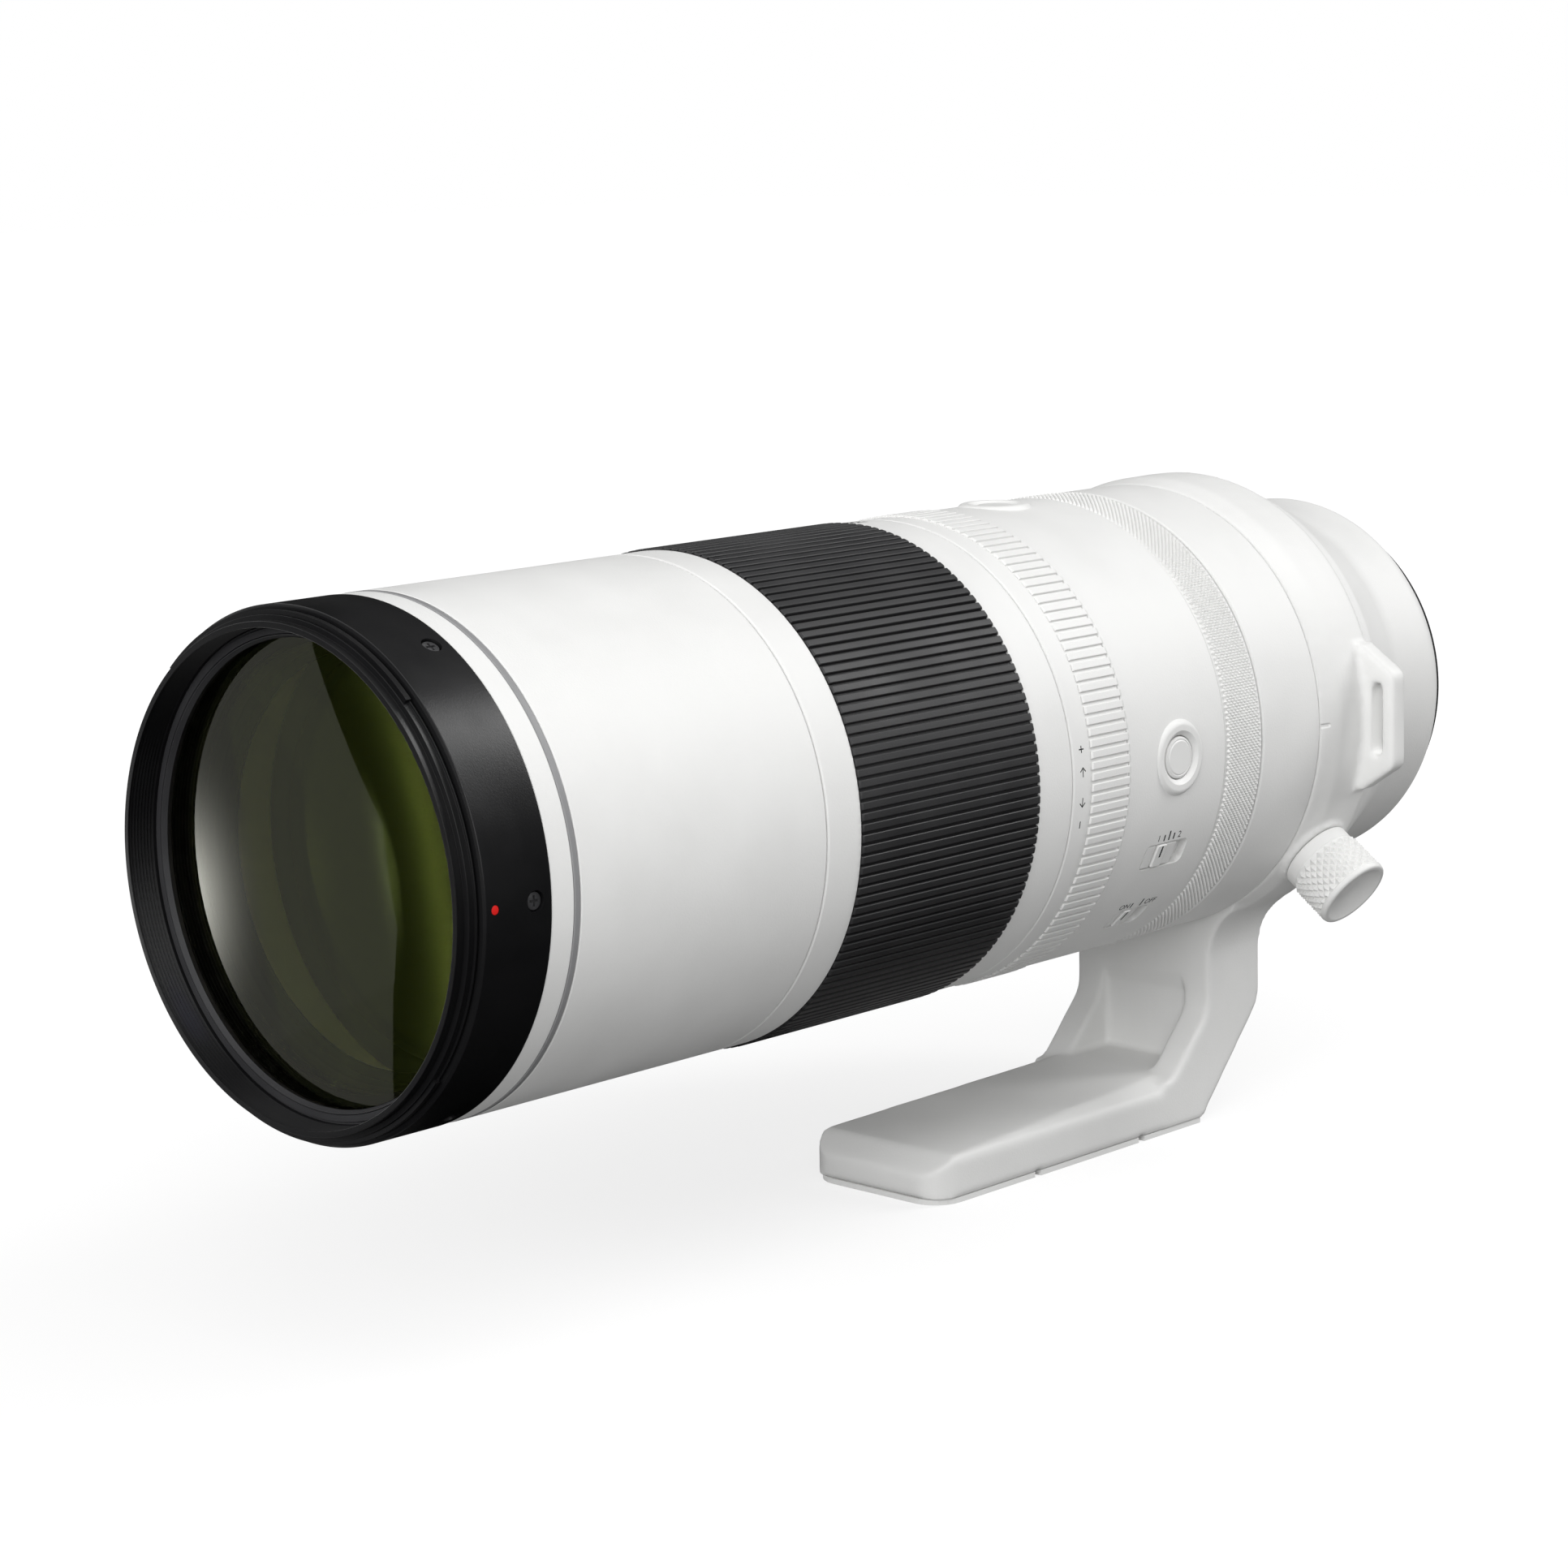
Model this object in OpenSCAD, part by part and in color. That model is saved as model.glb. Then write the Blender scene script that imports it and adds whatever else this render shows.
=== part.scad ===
// Super-telephoto zoom lens on a rotating tripod collar.
// The optical axis runs along Y and the front element faces -Y. Stations are counted along that
// axis from the front rim; the origin is the mouth of the tripod socket under the foot.

/* [Barrel lengths] */
// Length of the black hood mount
hood_len = 19; // [15:0.5:24]
// Length of the white band behind the hood mount
band_len = 5.5; // [4:0.5:9]
// Width of the metal trim ring
trim_len = 1.6; // [1:0.1:3]
// Length of the white front tube
tube_len = 64.7; // [60:0.1:75]
// Length of the zoom ring
zoom_len = 73.3; // [70:0.1:85]
// Length of the tension ring
tension_len = 18; // [15:0.5:22]
// Length of the fixed barrel that carries the switches
switch_len = 32.6; // [31:0.1:40]
// Length of the control ring
control_len = 13; // [10:0.5:18]
// Length of the plain barrel ahead of the collar
plain_len = 20.4; // [19:0.1:28]
// Width of the tripod collar
collar_len = 19.3; // [19:0.1:26]
// Length of the rear cover
cover_len = 42; // [40:0.5:50]
// Height of the mount flange above the rear cover
flange_rise = 2.6; // [2:0.1:4]
// Gap between neighbouring rings along the axis
ring_gap = 0.3; // [0.2:0.05:0.6]

/* [Barrel radii] */
// Radius of the white barrel
barrel_r = 50.8; // [49.5:0.1:54]
// Wall of the tension and control rings
ring_wall = 1.3; // [1.1:0.1:2]
// Wall of the fixed sleeve under those rings
sleeve_wall = 1.1; // [0.8:0.1:1.6]
// Wall of the cam barrel
cam_wall = 1.4; // [1:0.1:2]
// Wall of the guide barrel
guide_wall = 1.4; // [1:0.1:2]
// Wall of the extension tube
extension_wall = 1.5; // [1:0.1:2]
// Wall of the inner frame
frame_wall = 1.4; // [1:0.1:2]
// Radial gap between pieces that move past each other
run_gap = 0.3; // [0.2:0.05:0.4]
// Gap where one fixed piece seats in another
seat_gap = 0.05; // [0.02:0.01:0.1]

/* [Front] */
// Wall of the nose outside the filter thread
filter_wall = 1.8; // [1.3:0.1:2.2]
// Depth of the filter thread
filter_depth = 5.5; // [4:0.5:6]
// Step from the barrel down to the nose that the hood slides over
nose_drop = 1.5; // [1:0.1:2]
// Length of that nose
nose_len = 2.4; // [1.8:0.1:3.5]
// Wall of the thin rim in front of the nose
rim_wall = 0.5; // [0.4:0.1:1]
// How far that rim stands ahead of the nose's own front
rim_lead = 1.2; // [0.6:0.1:2]
// Number of hood mount screws
hood_screws = 6; // [3:1:8]
// Width of the ring between the front sleeve and the edge of the front glass
glass_margin = 2.7; // [2.3:0.1:4.5]

/* [Zoom ring] */
// White land ahead of the rubber grip
zoom_front_land = 9.3; // [7:0.1:14]
// Length of the rubber grip
grip_len = 53.4; // [40:0.1:56]
// Thickness of the rubber under the ribs and the ribs together
grip_t = 2; // [1.4:0.1:2.2]
// How far the ribs stand above the white barrel
grip_rise = 0.45; // [0.2:0.05:1]
// Number of ribs
grip_ribs = 150; // [90:1:180]
// Width of the groove between ribs
grip_groove_w = 0.6; // [0.4:0.1:1]
// Depth of the groove between ribs
grip_groove_d = 0.9; // [0.5:0.1:1.2]
// Turn of the zoom ring from the shortest to the longest setting, in degrees
zoom_turn = 100; // [80:1:106]
// Travel of the front barrel
zoom_travel = 112; // [90:1:116]
// Radius of the cam followers
follower_r = 3; // [2:0.1:3.5]
// Clearance of a follower in its slots, each side
follower_gap = 0.15; // [0.1:0.05:0.3]

/* [Tension ring] */
// Plain land ahead of the teeth
tension_land = 5.8; // [4:0.1:8]
// Number of axial teeth
tension_teeth = 138; // [80:1:160]
// How far the teeth stand above the barrel
tooth_rise = 0.4; // [0.2:0.05:0.8]
// Width of the groove between teeth
tooth_groove_w = 0.75; // [0.4:0.05:1]

/* [Switches and buttons] */
// Distance from the front edge of the switch barrel to the buttons
button_in = 16.8; // [12:0.1:18]
// Radius of the button caps
button_r = 4.5; // [3:0.1:5]
// Travel of the button caps
button_travel = 0.5; // [0.3:0.05:0.6]
// Radius of the raised pad round a button
pad_r = 7.4; // [6.5:0.1:8]
// Length of the focus mode window
mode_window = 14.2; // [12:0.1:16]
// Length of the stabiliser window
stab_window = 11.3; // [10:0.1:14]
// Width of both windows
window_w = 6.2; // [5:0.1:7]
// Travel of the sliders
slider_travel = 3.2; // [2:0.1:4]
// Angle of the focus mode switch below the side button
mode_angle = 25; // [20:0.5:30]
// Angle of the stabiliser switch below the side button
stab_angle = 46; // [40:0.5:55]

/* [Tripod collar and foot] */
// Height of the optical axis above the underside of the foot
axis_h = 95; // [88:0.5:105]
// How far the collar stands above the barrel
collar_rise = 1.3; // [0.8:0.1:3]
// Distance from the front face of the collar forward to the tripod socket
socket_ahead = 42.5; // [35:0.5:50]
// Foot ahead of the socket
foot_front = 51.4; // [40:0.1:60]
// Foot behind the socket, along its underside
foot_back = 40.6; // [30:0.1:42]
// Width of the foot and of the leg
foot_w = 39; // [34:0.5:44]
// Height of the flat panel on top of the foot
foot_h = 13; // [10:0.5:15]
// Thickness of the pad under the foot
pad_t = 1.2; // [0.8:0.1:2]
// Height at which the leg turns upright
knee_h = 26; // [22:0.5:32]
// Radius of the flare between leg and collar
flare_r = 14; // [8:0.5:18]
// Radius of the tripod socket
socket_r = 3.175; // [3.1:0.005:4.8]
// Depth of the tripod socket
socket_depth = 8.4; // [6:0.1:9]
// Angle of the lock knob below the side of the collar
knob_angle = 36.5; // [30:0.5:42]
// Radius of the lock knob
knob_r = 9; // [7:0.1:9.5]
// Length of the lock knob
knob_len = 13.6; // [10:0.1:18]
// Length of the strap slot
strap_slot = 16.6; // [12:0.1:18]
// Width of the strap slot
strap_slot_w = 2.8; // [2:0.1:3.5]
// Thickness of the strap lugs
lug_t = 4.8; // [3:0.1:6]

/* [Rear mount] */
// Outer radius of the metal mount flange
flange_r = 34.4; // [32:0.1:36]
// Radius of the bayonet spigot
spigot_r = 25.6; // [24:0.1:26]
// How far the bayonet lugs stand out from the spigot
lug_rise = 1.3; // [0.8:0.1:1.5]
// Length of the spigot behind the flange
spigot_len = 5.5; // [4:0.1:7]
// Radius of the clear throat
throat_r = 23; // [21:0.1:24]

/* [Hidden] */
$fn = 96;

// Paint and metal colours
white = [0.90, 0.90, 0.89];
black = [0.09, 0.09, 0.10];
dark = [0.20, 0.20, 0.21];
metal = [0.72, 0.73, 0.74];
glass = [0.35, 0.40, 0.36];

// Stations of the outer rings
s_trim = hood_len + band_len;
s_tube = s_trim + trim_len;
s_tube_end = s_tube + tube_len;
s_zoom = s_tube_end + ring_gap;
s_zoom_end = s_zoom + zoom_len;
s_tension = s_zoom_end + ring_gap;
s_tension_end = s_tension + tension_len;
s_switch = s_tension_end + ring_gap;
s_switch_end = s_switch + switch_len;
s_control = s_switch_end + ring_gap;
s_control_end = s_control + control_len;
s_plain = s_control_end + ring_gap;
s_plain_end = s_plain + plain_len;
s_collar = s_plain_end + ring_gap;
s_collar_end = s_collar + collar_len;
s_cover = s_collar_end + ring_gap;
s_cover_end = s_cover + cover_len;
s_flange = s_cover_end + flange_rise;
s_socket = s_collar - socket_ahead;

// Radii from the outside in
collar_r = barrel_r + collar_rise;
ring_r = barrel_r - ring_wall;
sleeve_r = ring_r - run_gap;
sleeve_in = sleeve_r - sleeve_wall;
cam_r = sleeve_in - run_gap;
cam_in = cam_r - cam_wall;
guide_r = cam_in - run_gap;
guide_in = guide_r - guide_wall;
extension_r = guide_in - run_gap;
extension_in = extension_r - extension_wall;
frame_gap = 0.5;
frame_r = extension_in - frame_gap;
frame_in = frame_r - frame_wall;
zoom_in = cam_r + seat_gap;

// Front barrel
nose_r = barrel_r - nose_drop;
filter_r = nose_r - filter_wall;
rim_r = filter_r + rim_wall;
front_sleeve_r = barrel_r - 2.3;
front_sleeve_in = front_sleeve_r - 1.6;
front_sleeve_s = 8.5;
tube_in = barrel_r - 2.2;
cell_back = 40;
retainer_s = filter_depth + 1.2;

// Front lens elements: places, centre thicknesses, edges and the radii of their faces
front_glass_r = front_sleeve_in - glass_margin;
front_glass_vertex = 7.2;
front_glass_t = 10.5;
front_curve = 178;
front_rear_curve = 900;
glass_edge_s = front_glass_vertex + sag(front_curve, front_glass_r) - 0.275;
glass_seat_s = front_glass_vertex + front_glass_t + sag(front_rear_curve, front_glass_r) + 0.065;
second_r = front_glass_r - 1.6;
second_vertex = 20.6;
second_t = 7;
second_curve = 420;
third_r = second_r - 1.2;
third_vertex = 29.4;
third_t = 3;
third_rear_curve = 700;
air_curve = 300;
cell_lip = 1;
cell_gap = 0.1;

// Front tube and hood mount
extension_s = s_tube_end - 24.8;
extension_flange_t = 4;
hood_screw_s = hood_len - 4;
hood_screw_r = 1.7;
hood_r = barrel_r;
rail_s = nose_len - 1.1;
rail_rise = 0.4;
rail_gaps = [39, 141, 219, 321];
dot_s = 5.4;
dot_r = 0.9;

// Zoom mechanism
guide_s = s_zoom + 1.9;
guide_nose_len = 6;
guide_end = s_plain_end - 3.4;
guide_flange_len = 8;
wall_s = s_plain + 2.8;
wall_t = 4;
extension_end = wall_s - 4;
follow_s = extension_end - 3.4;
cam_s = guide_s + guide_nose_len + 2;
cam_end = wall_s + 2;
slot_r = follower_r + follower_gap;
follower_angles = [10, 130, 250];
grip_s = s_zoom + zoom_front_land;
grip_r = barrel_r + grip_rise;
grip_in = grip_r - grip_t;
cam_screw_s = grip_s + 26;
cam_screw_r = 1.2;
cam_steps = 20;

// Optical groups on the inner frame
frame_s = s_zoom_end - 14;
middle_len = 12;
middle_r = frame_in - 7;
stab_s = frame_s + 18;
stab_base_t = 3;
stab_cell_s = stab_s + stab_base_t + 2.1;
coil_r = frame_in - 6;
coil_w = 5;
stab_glass_r = coil_r - 11;
iris_s = stab_s + 20;
iris_base_t = 2;
blade_t = 0.2;
blade_pitch = 0.4;
blades = 9;
blade_pin_at = frame_in - 8;
iris_r = blade_pin_at - 10;
iris_cover_s = iris_s + iris_base_t + blades * blade_pitch + 0.4;
iris_cover_t = 1.6;
focus_len = 10;
focus_s = (iris_cover_s + iris_cover_t + wall_s) / 2 - focus_len / 2;
rod_r = 1.5;
rod_at = frame_in - 6;
focus_cell_r = 28;
focus_glass_r = 24;
focus_glass_t = 3;
rod_gap = 0.05;

// Rear group and mount
journal_r = collar_r - 2.6 - 0.85;
rear_in = barrel_r - 5.3;
rear_cell_end = s_plain_end + 12.6;
spigot_seat_r = journal_r - 1.6;
board_s = s_cover + 6.5;
cover_wall = 1.8;
tail_end_r = flange_r + 5.2;
tail_r = tail_end_r + 3.3;
seal_in = flange_r + 0.2;
mount_screw_at = 30.4;

// Collar and foot, with lengths counted from the socket
collar_in = collar_r - 2.6;
lining_t = 0.5;
leg_front = socket_ahead;
leg_back = socket_ahead + collar_len;
leg_run = 13.5;
flare_x = foot_w / 2 + flare_r;
flare_z = axis_h - sqrt(pow(collar_r + flare_r, 2) - pow(flare_x, 2));
flare_touch = collar_r * flare_x / (collar_r + flare_r);
bevel_w = 5;
side_wall_h = 10;
nose_wall_h = 6.6;
pocket_w = 24;
pocket_d = 1.9;
lug_reach = 8;
lug_root = 33;
lug_tip = 21;
key_pitch = 36.3;
key_r = 1.1;
knob_s = s_collar + collar_len / 2;
knob_seat = collar_r + 0.2;
knob_base = knob_seat + 0.2;
screw_r = 2;
shoe_r = 3.2;
shoe_t = 0.8;

// Angle where the seam of the turned faces lies, clear of holes and slots
seam = 123.5;

// Unit vector from one point to another
function toward(p, q) = (q - p) / norm(q - p);

// Points of the arc that rounds the corner q between p and t
function corner(p, q, t, r, n = 6) =
    let (u = toward(q, p), v = toward(q, t), half = acos(u * v) / 2,
         c = q + (u + v) / norm(u + v) * r / sin(half),
         a = q + u * r / tan(half) - c, b = q + v * r / tan(half) - c,
         a0 = atan2(a[1], a[0]), turn = atan2(a[0] * b[1] - a[1] * b[0], a * b))
    [for (i = [0 : n]) c + r * [cos(a0 + turn * i / n), sin(a0 + turn * i / n)]];

// Outline from [x, y, radius] corners; a radius of 0 leaves the corner sharp
function rounded(pts) = [for (i = [0 : len(pts) - 1])
    let (p = pts[(i + len(pts) - 1) % len(pts)], q = pts[i], t = pts[(i + 1) % len(pts)],
         at = [q[0], q[1]])
    each (q[2] == 0 ? [at] : corner([p[0], p[1]], at, [t[0], t[1]], q[2]))];

// Depth of a spherical face of radius curve at distance r from its axis
function sag(curve, r) = sign(curve) * (abs(curve) - sqrt(curve * curve - r * r));

// Half section of a lens: vertex station, edge radius, centre thickness and the two face radii
function lens(vertex, r, thick, curve1, curve2, n = 10) = concat(
    [for (i = [0 : n]) [r * i / n, vertex + sag(curve1, r * i / n)]],
    [for (i = [n : -1 : 0]) [r * i / n, vertex + thick + sag(curve2, r * i / n)]]);

// Lays children made along +Z on the optical axis, with z as the station
module axial() translate([0, -s_socket, axis_h]) rotate([-90, 0, 0]) children();

// Piece turned about the optical axis from [radius, station] points
module turned(points, at = seam) axial() rotate(at) rotate_extrude() polygon(points);

// Plain ring between two radii and two stations
module ring(r_in, r_out, s0, s1) turned([[r_in, s0], [r_out, s0], [r_out, s1], [r_in, s1]]);

// Stands children on the optical axis at a station: x down the side, y rearwards, z outwards
module radial(s, angle) translate([0, s - s_socket, axis_h]) rotate([0, 90 - angle, 0]) children();

// Round post or hole along a radius, between two distances from the axis
module post(s, angle, r, d0, d1) radial(s, angle) translate([0, 0, d0]) cylinder(r = r, h = d1 - d0);

// Flat outline across the axis, pushed along it between two stations
module sliced(s0, s1) axial() translate([0, 0, s0]) linear_extrude(s1 - s0) children();

// Front outline [x, z] pushed along Y
module along_y(y0, y1) translate([0, y1, 0]) rotate([90, 0, 0]) linear_extrude(y1 - y0) children();

// Side outline [y, z] pushed along X about the middle
module along_x(w) rotate([90, 0, 90]) linear_extrude(w, center = true) children();

// Ring outline with axial grooves cut into its rim
module grooved(r_in, r_out, count, w, d) difference() {
    circle(r_out);
    circle(r_in);
    for (i = [0 : count - 1])
        rotate(i * 360 / count) translate([r_out - d, -w / 2]) square([2 * d, w]);
}

// Part of a ring outline between two angles
module arc_2d(r_in, r_out, a0, a1) intersection() {
    difference() {
        circle(r_out);
        circle(r_in);
    }
    polygon(concat([[0, 0]], [for (i = [0 : 8]) 2 * r_out * [cos(a0 + (a1 - a0) * i / 8),
        sin(a0 + (a1 - a0) * i / 8)]]));
}

// Leg seen from the front, flared into the collar
module leg_front_outline() difference() {
    translate([-flare_touch, pad_t]) square([2 * flare_touch, axis_h - pad_t]);
    for (side = [-1, 1]) {
        translate([side * flare_x, flare_z]) circle(flare_r);
        translate([side * (foot_w / 2 + flare_r) - flare_r, 0]) square([2 * flare_r, flare_z]);
    }
}

// Leg seen from the side: upright under the collar, then leaning forward to the foot
module leg_side_outline() polygon(rounded([
    [leg_front - leg_run - 3, pad_t, 0], [foot_back, pad_t, 3], [leg_back, knee_h - 1, 8],
    [leg_back, axis_h, 0], [leg_front, axis_h, 0], [leg_front, knee_h, 8],
    [leg_front - leg_run, foot_h - 1, 5], [leg_front - leg_run - 3, foot_h - 1, 0]]));

// Foot seen from the side, thinner towards its nose
module foot_side_outline() polygon(rounded([
    [-foot_front, pad_t, 1.5], [foot_back, pad_t, 3], [foot_back + 6, foot_h - 3, 0],
    [leg_front - leg_run + 2, foot_h, 0], [-foot_front + 6, foot_h - 2.4, 3],
    [-foot_front, nose_wall_h, 2]]));

// Foot seen from the front, with its bevelled shoulders
module foot_front_outline() polygon(rounded([
    [-foot_w / 2, pad_t, 1], [foot_w / 2, pad_t, 1], [foot_w / 2, side_wall_h, 2],
    [foot_w / 2 - bevel_w, foot_h, 3], [bevel_w - foot_w / 2, foot_h, 3],
    [-foot_w / 2, side_wall_h, 2]]));

// Foot seen from above, shrunk by inset
module foot_plan(inset) polygon(rounded([
    [-foot_w / 2 + inset, -foot_front + inset, 7], [foot_w / 2 - inset, -foot_front + inset, 7],
    [foot_w / 2 - inset, leg_back, 0], [-foot_w / 2 + inset, leg_back, 0]]));

// Pair of strap lugs at the rear of the collar, each with a slot
module strap_lug() along_y(leg_back - lug_t, leg_back) translate([0, axis_h]) difference() {
    polygon(rounded([[collar_in, -lug_root / 2, 0], [collar_r - 1, -lug_root / 2, 0],
        [collar_r + lug_reach, -lug_tip / 2, 3], [collar_r + lug_reach, lug_tip / 2, 3],
        [collar_r - 1, lug_root / 2, 0], [collar_in, lug_root / 2, 0]]));
    translate([collar_r + 3.2, 0]) {
        square([strap_slot_w, strap_slot - strap_slot_w], center = true);
        for (end = [-1, 1]) translate([0, end * (strap_slot - strap_slot_w) / 2])
            circle(d = strap_slot_w, $fn = 32);
    }
}

// Side keys under the foot that stop a quick-release plate from turning
module foot_keys() for (y = [-key_pitch / 2, key_pitch / 2], side = [-1, 1])
    translate([side * foot_w / 2, y, pad_t / 2]) rotate([0, 90, 0])
        cylinder(r = key_r, h = 5, center = true);

// Holes for the pad screws
module pad_screw_places() for (y = [-foot_front + 12, foot_back - 9], side = [-1, 1])
    translate([side * (foot_w / 2 - 8), y, 0]) children();

module tripod_collar() color(white) difference() {
    union() {
        turned(rounded([[collar_in, s_collar, 0], [barrel_r, s_collar, 0.4],
            [collar_r - 0.1, s_collar + 6, 6], [collar_r, s_collar_end - 5, 6],
            [collar_r - 0.1, s_collar_end, 0.8], [collar_in, s_collar_end, 0]]), at = 270);
        intersection() {
            along_y(-foot_front, leg_back) foot_front_outline();
            along_x(foot_w) foot_side_outline();
            linear_extrude(foot_h + 1) foot_plan(0);
        }
        intersection() {
            along_y(leg_front - 2 * leg_run, leg_back) leg_front_outline();
            along_x(3 * foot_w) leg_side_outline();
        }
        strap_lug();
        mirror([1, 0, 0]) strap_lug();
        post(knob_s, -knob_angle, knob_r - 0.2, collar_in + 0.5, knob_seat);
    }
    axial() translate([0, 0, s_collar - 20]) cylinder(r = collar_in, h = collar_len + 40);
    along_x(pocket_w) polygon([[leg_front + pocket_d, foot_h], [leg_front + pocket_d, knee_h + 3],
        [leg_front - 0.2, knee_h + 8], [leg_front - 2 * leg_run, knee_h + 8],
        [leg_front - 2 * leg_run, foot_h]]);
    translate([0, 0, -1]) cylinder(r = socket_r + 1.5, h = socket_depth + 1);
    pad_screw_places() cylinder(r = 1.1, h = 7);
    foot_keys();
    post(knob_s, -knob_angle, screw_r + seat_gap, collar_in - 1, knob_seat + 1);
    post(knob_s, -knob_angle, shoe_r + run_gap, collar_in - 1, collar_in + shoe_t + 0.3);
    radial(s_collar, 0) translate([-0.4, -1, barrel_r - 0.6]) cube([0.8, 4.2, 3]);
}

module foot_pad() color(white) difference() {
    intersection() {
        linear_extrude(pad_t) foot_plan(0.5);
        along_x(foot_w) polygon([[-foot_front, 0], [foot_back - 1, 0], [foot_back - 1, pad_t],
            [-foot_front, pad_t]]);
    }
    translate([0, 0, -1]) cylinder(r = socket_r + 1.5 + seat_gap, h = 4);
    pad_screw_places() translate([0, 0, -0.01]) cylinder(r = 2.1, h = 4);
    foot_keys();
}

module foot_pad_screws() color(metal) pad_screw_places() {
    translate([0, 0, 0.3]) cylinder(r = 2, h = pad_t - 0.3);
    translate([0, 0, pad_t - 0.1]) cylinder(r = 1, h = 5.5);
}

module tripod_bush() color(metal) difference() {
    cylinder(r = socket_r + 1.5 - seat_gap, h = socket_depth);
    translate([0, 0, -1]) cylinder(r = socket_r, h = socket_depth + 2);
}

module collar_lining() color(dark)
    ring(collar_in - lining_t - seat_gap, collar_in - seat_gap, s_collar + 1, s_collar_end - 1);

module clamp_shoe() color([0.75, 0.60, 0.30])
    post(knob_s, -knob_angle, shoe_r, collar_in + 0.1, collar_in + shoe_t + 0.1);

module lock_knob() color(white) radial(knob_s, -knob_angle) translate([0, 0, knob_base])
    rotate_extrude() polygon(rounded([[screw_r + seat_gap, 0, 0], [knob_r - 0.6, 0, 0.4],
        [knob_r - 0.6, 2.8, 0], [knob_r, 3.2, 0], [knob_r, knob_len - 0.9, 0],
        [knob_r - 0.7, knob_len, 0.3], [knob_r - 1.4, knob_len, 0], [4, knob_len - 2.6, 0],
        [0, knob_len - 3, 0], [0, knob_len - 5, 0], [screw_r + seat_gap, knob_len - 5, 0]]));

module lock_screw() color(metal)
    post(knob_s, -knob_angle, screw_r, collar_in + shoe_t + 0.4, knob_base + knob_len - 5 - seat_gap);

module hood_mount() color(black) difference() {
    turned([[filter_r, 0.2 - rim_lead], [filter_r + 0.2, -rim_lead], [rim_r - 0.1, -rim_lead],
        [rim_r, 0.1 - rim_lead], [rim_r, 0.5], [nose_r - 0.2, 0.7], [nose_r, 0.9], [nose_r, rail_s], [nose_r + rail_rise, rail_s + 0.1], [nose_r + rail_rise, nose_len],
        [nose_r - 0.6, nose_len + 0.1], [nose_r - 0.6, nose_len + 0.7],
        [hood_r - 0.4, nose_len + 0.8], [hood_r, nose_len + 1.2], [hood_r, hood_len - 0.1],
        [front_sleeve_r + seat_gap, hood_len - 0.1], [front_sleeve_r + seat_gap, front_sleeve_s - 0.1],
        [front_sleeve_in, front_sleeve_s - 0.1], [front_sleeve_in, filter_depth + 0.6],
        [filter_r, filter_depth + 0.6]]);
    for (angle = rail_gaps) radial(rail_s - 0.1, angle)
        translate([-9, 0, nose_r - 0.1]) cube([18, nose_len - rail_s + 0.3, 2]);
    for (i = [0 : hood_screws - 1]) {
        post(hood_screw_s, i * 360 / hood_screws, hood_screw_r + 0.2, hood_r - 1.2, hood_r + 2);
        post(hood_screw_s, i * 360 / hood_screws, 0.9, front_sleeve_r - 1, hood_r);
    }
    post(dot_s, 0, dot_r + seat_gap, hood_r - 0.5, hood_r + 1);
}

module hood_mount_screws() color(dark) for (i = [0 : hood_screws - 1]) {
    post(hood_screw_s, i * 360 / hood_screws, hood_screw_r, hood_r - 1.15, hood_r - 0.45);
    post(hood_screw_s, i * 360 / hood_screws, 0.85, front_sleeve_r - 1, hood_r - 1.1);
}

module index_dot() color([0.85, 0.05, 0.05]) post(dot_s, 0, dot_r, hood_r - 0.45, hood_r - 0.02);

module front_band() color(white)
    ring(front_sleeve_r + seat_gap, barrel_r - 0.1, hood_len, s_trim - seat_gap);

module trim_ring() color(metal)
    turned([[front_sleeve_r + seat_gap, s_trim], [barrel_r - 0.3, s_trim], [barrel_r, s_trim + 0.3],
        [barrel_r, s_tube - 0.4], [barrel_r - 0.3, s_tube - seat_gap],
        [front_sleeve_r + seat_gap, s_tube - seat_gap]]);

module front_tube() color(white) difference() {
    turned([[front_sleeve_in, front_sleeve_s], [front_sleeve_r, front_sleeve_s],
        [front_sleeve_r, s_tube], [barrel_r - 0.2, s_tube], [barrel_r, s_tube + 0.3],
        [barrel_r, s_tube_end - 0.5], [barrel_r - 0.5, s_tube_end], [tube_in, s_tube_end],
        [tube_in, cell_back + 2], [front_sleeve_in, cell_back]]);
    for (i = [0 : hood_screws - 1])
        post(hood_screw_s, i * 360 / hood_screws, 0.9, front_sleeve_in - 1, hood_r);
}

module front_retainer() color(black) difference() {
    turned([[front_glass_r - 1.2, glass_edge_s - 0.7], [front_glass_r - 0.3, retainer_s + 3],
        [front_glass_r + 0.6, retainer_s + 3], [front_glass_r + 0.6, retainer_s + 1.4],
        [front_sleeve_in - 1.6, retainer_s + 1.4], [front_sleeve_in - 1.6, retainer_s],
        [front_sleeve_in - seat_gap, retainer_s], [front_sleeve_in - seat_gap, glass_edge_s - 0.7]]);
    for (angle = [30, 210]) radial(retainer_s, angle)
        translate([-1.5, -1, front_sleeve_in - 1.2]) cube([3, 2, 1.6]);
}

module front_element() color(glass)
    turned(lens(front_glass_vertex, front_glass_r, front_glass_t, front_curve, front_rear_curve));

module second_element() color(glass)
    turned(lens(second_vertex, second_r, second_t, second_curve, -air_curve));

module third_element() color(glass)
    turned(lens(third_vertex, third_r, third_t, -air_curve, third_rear_curve));

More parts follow.
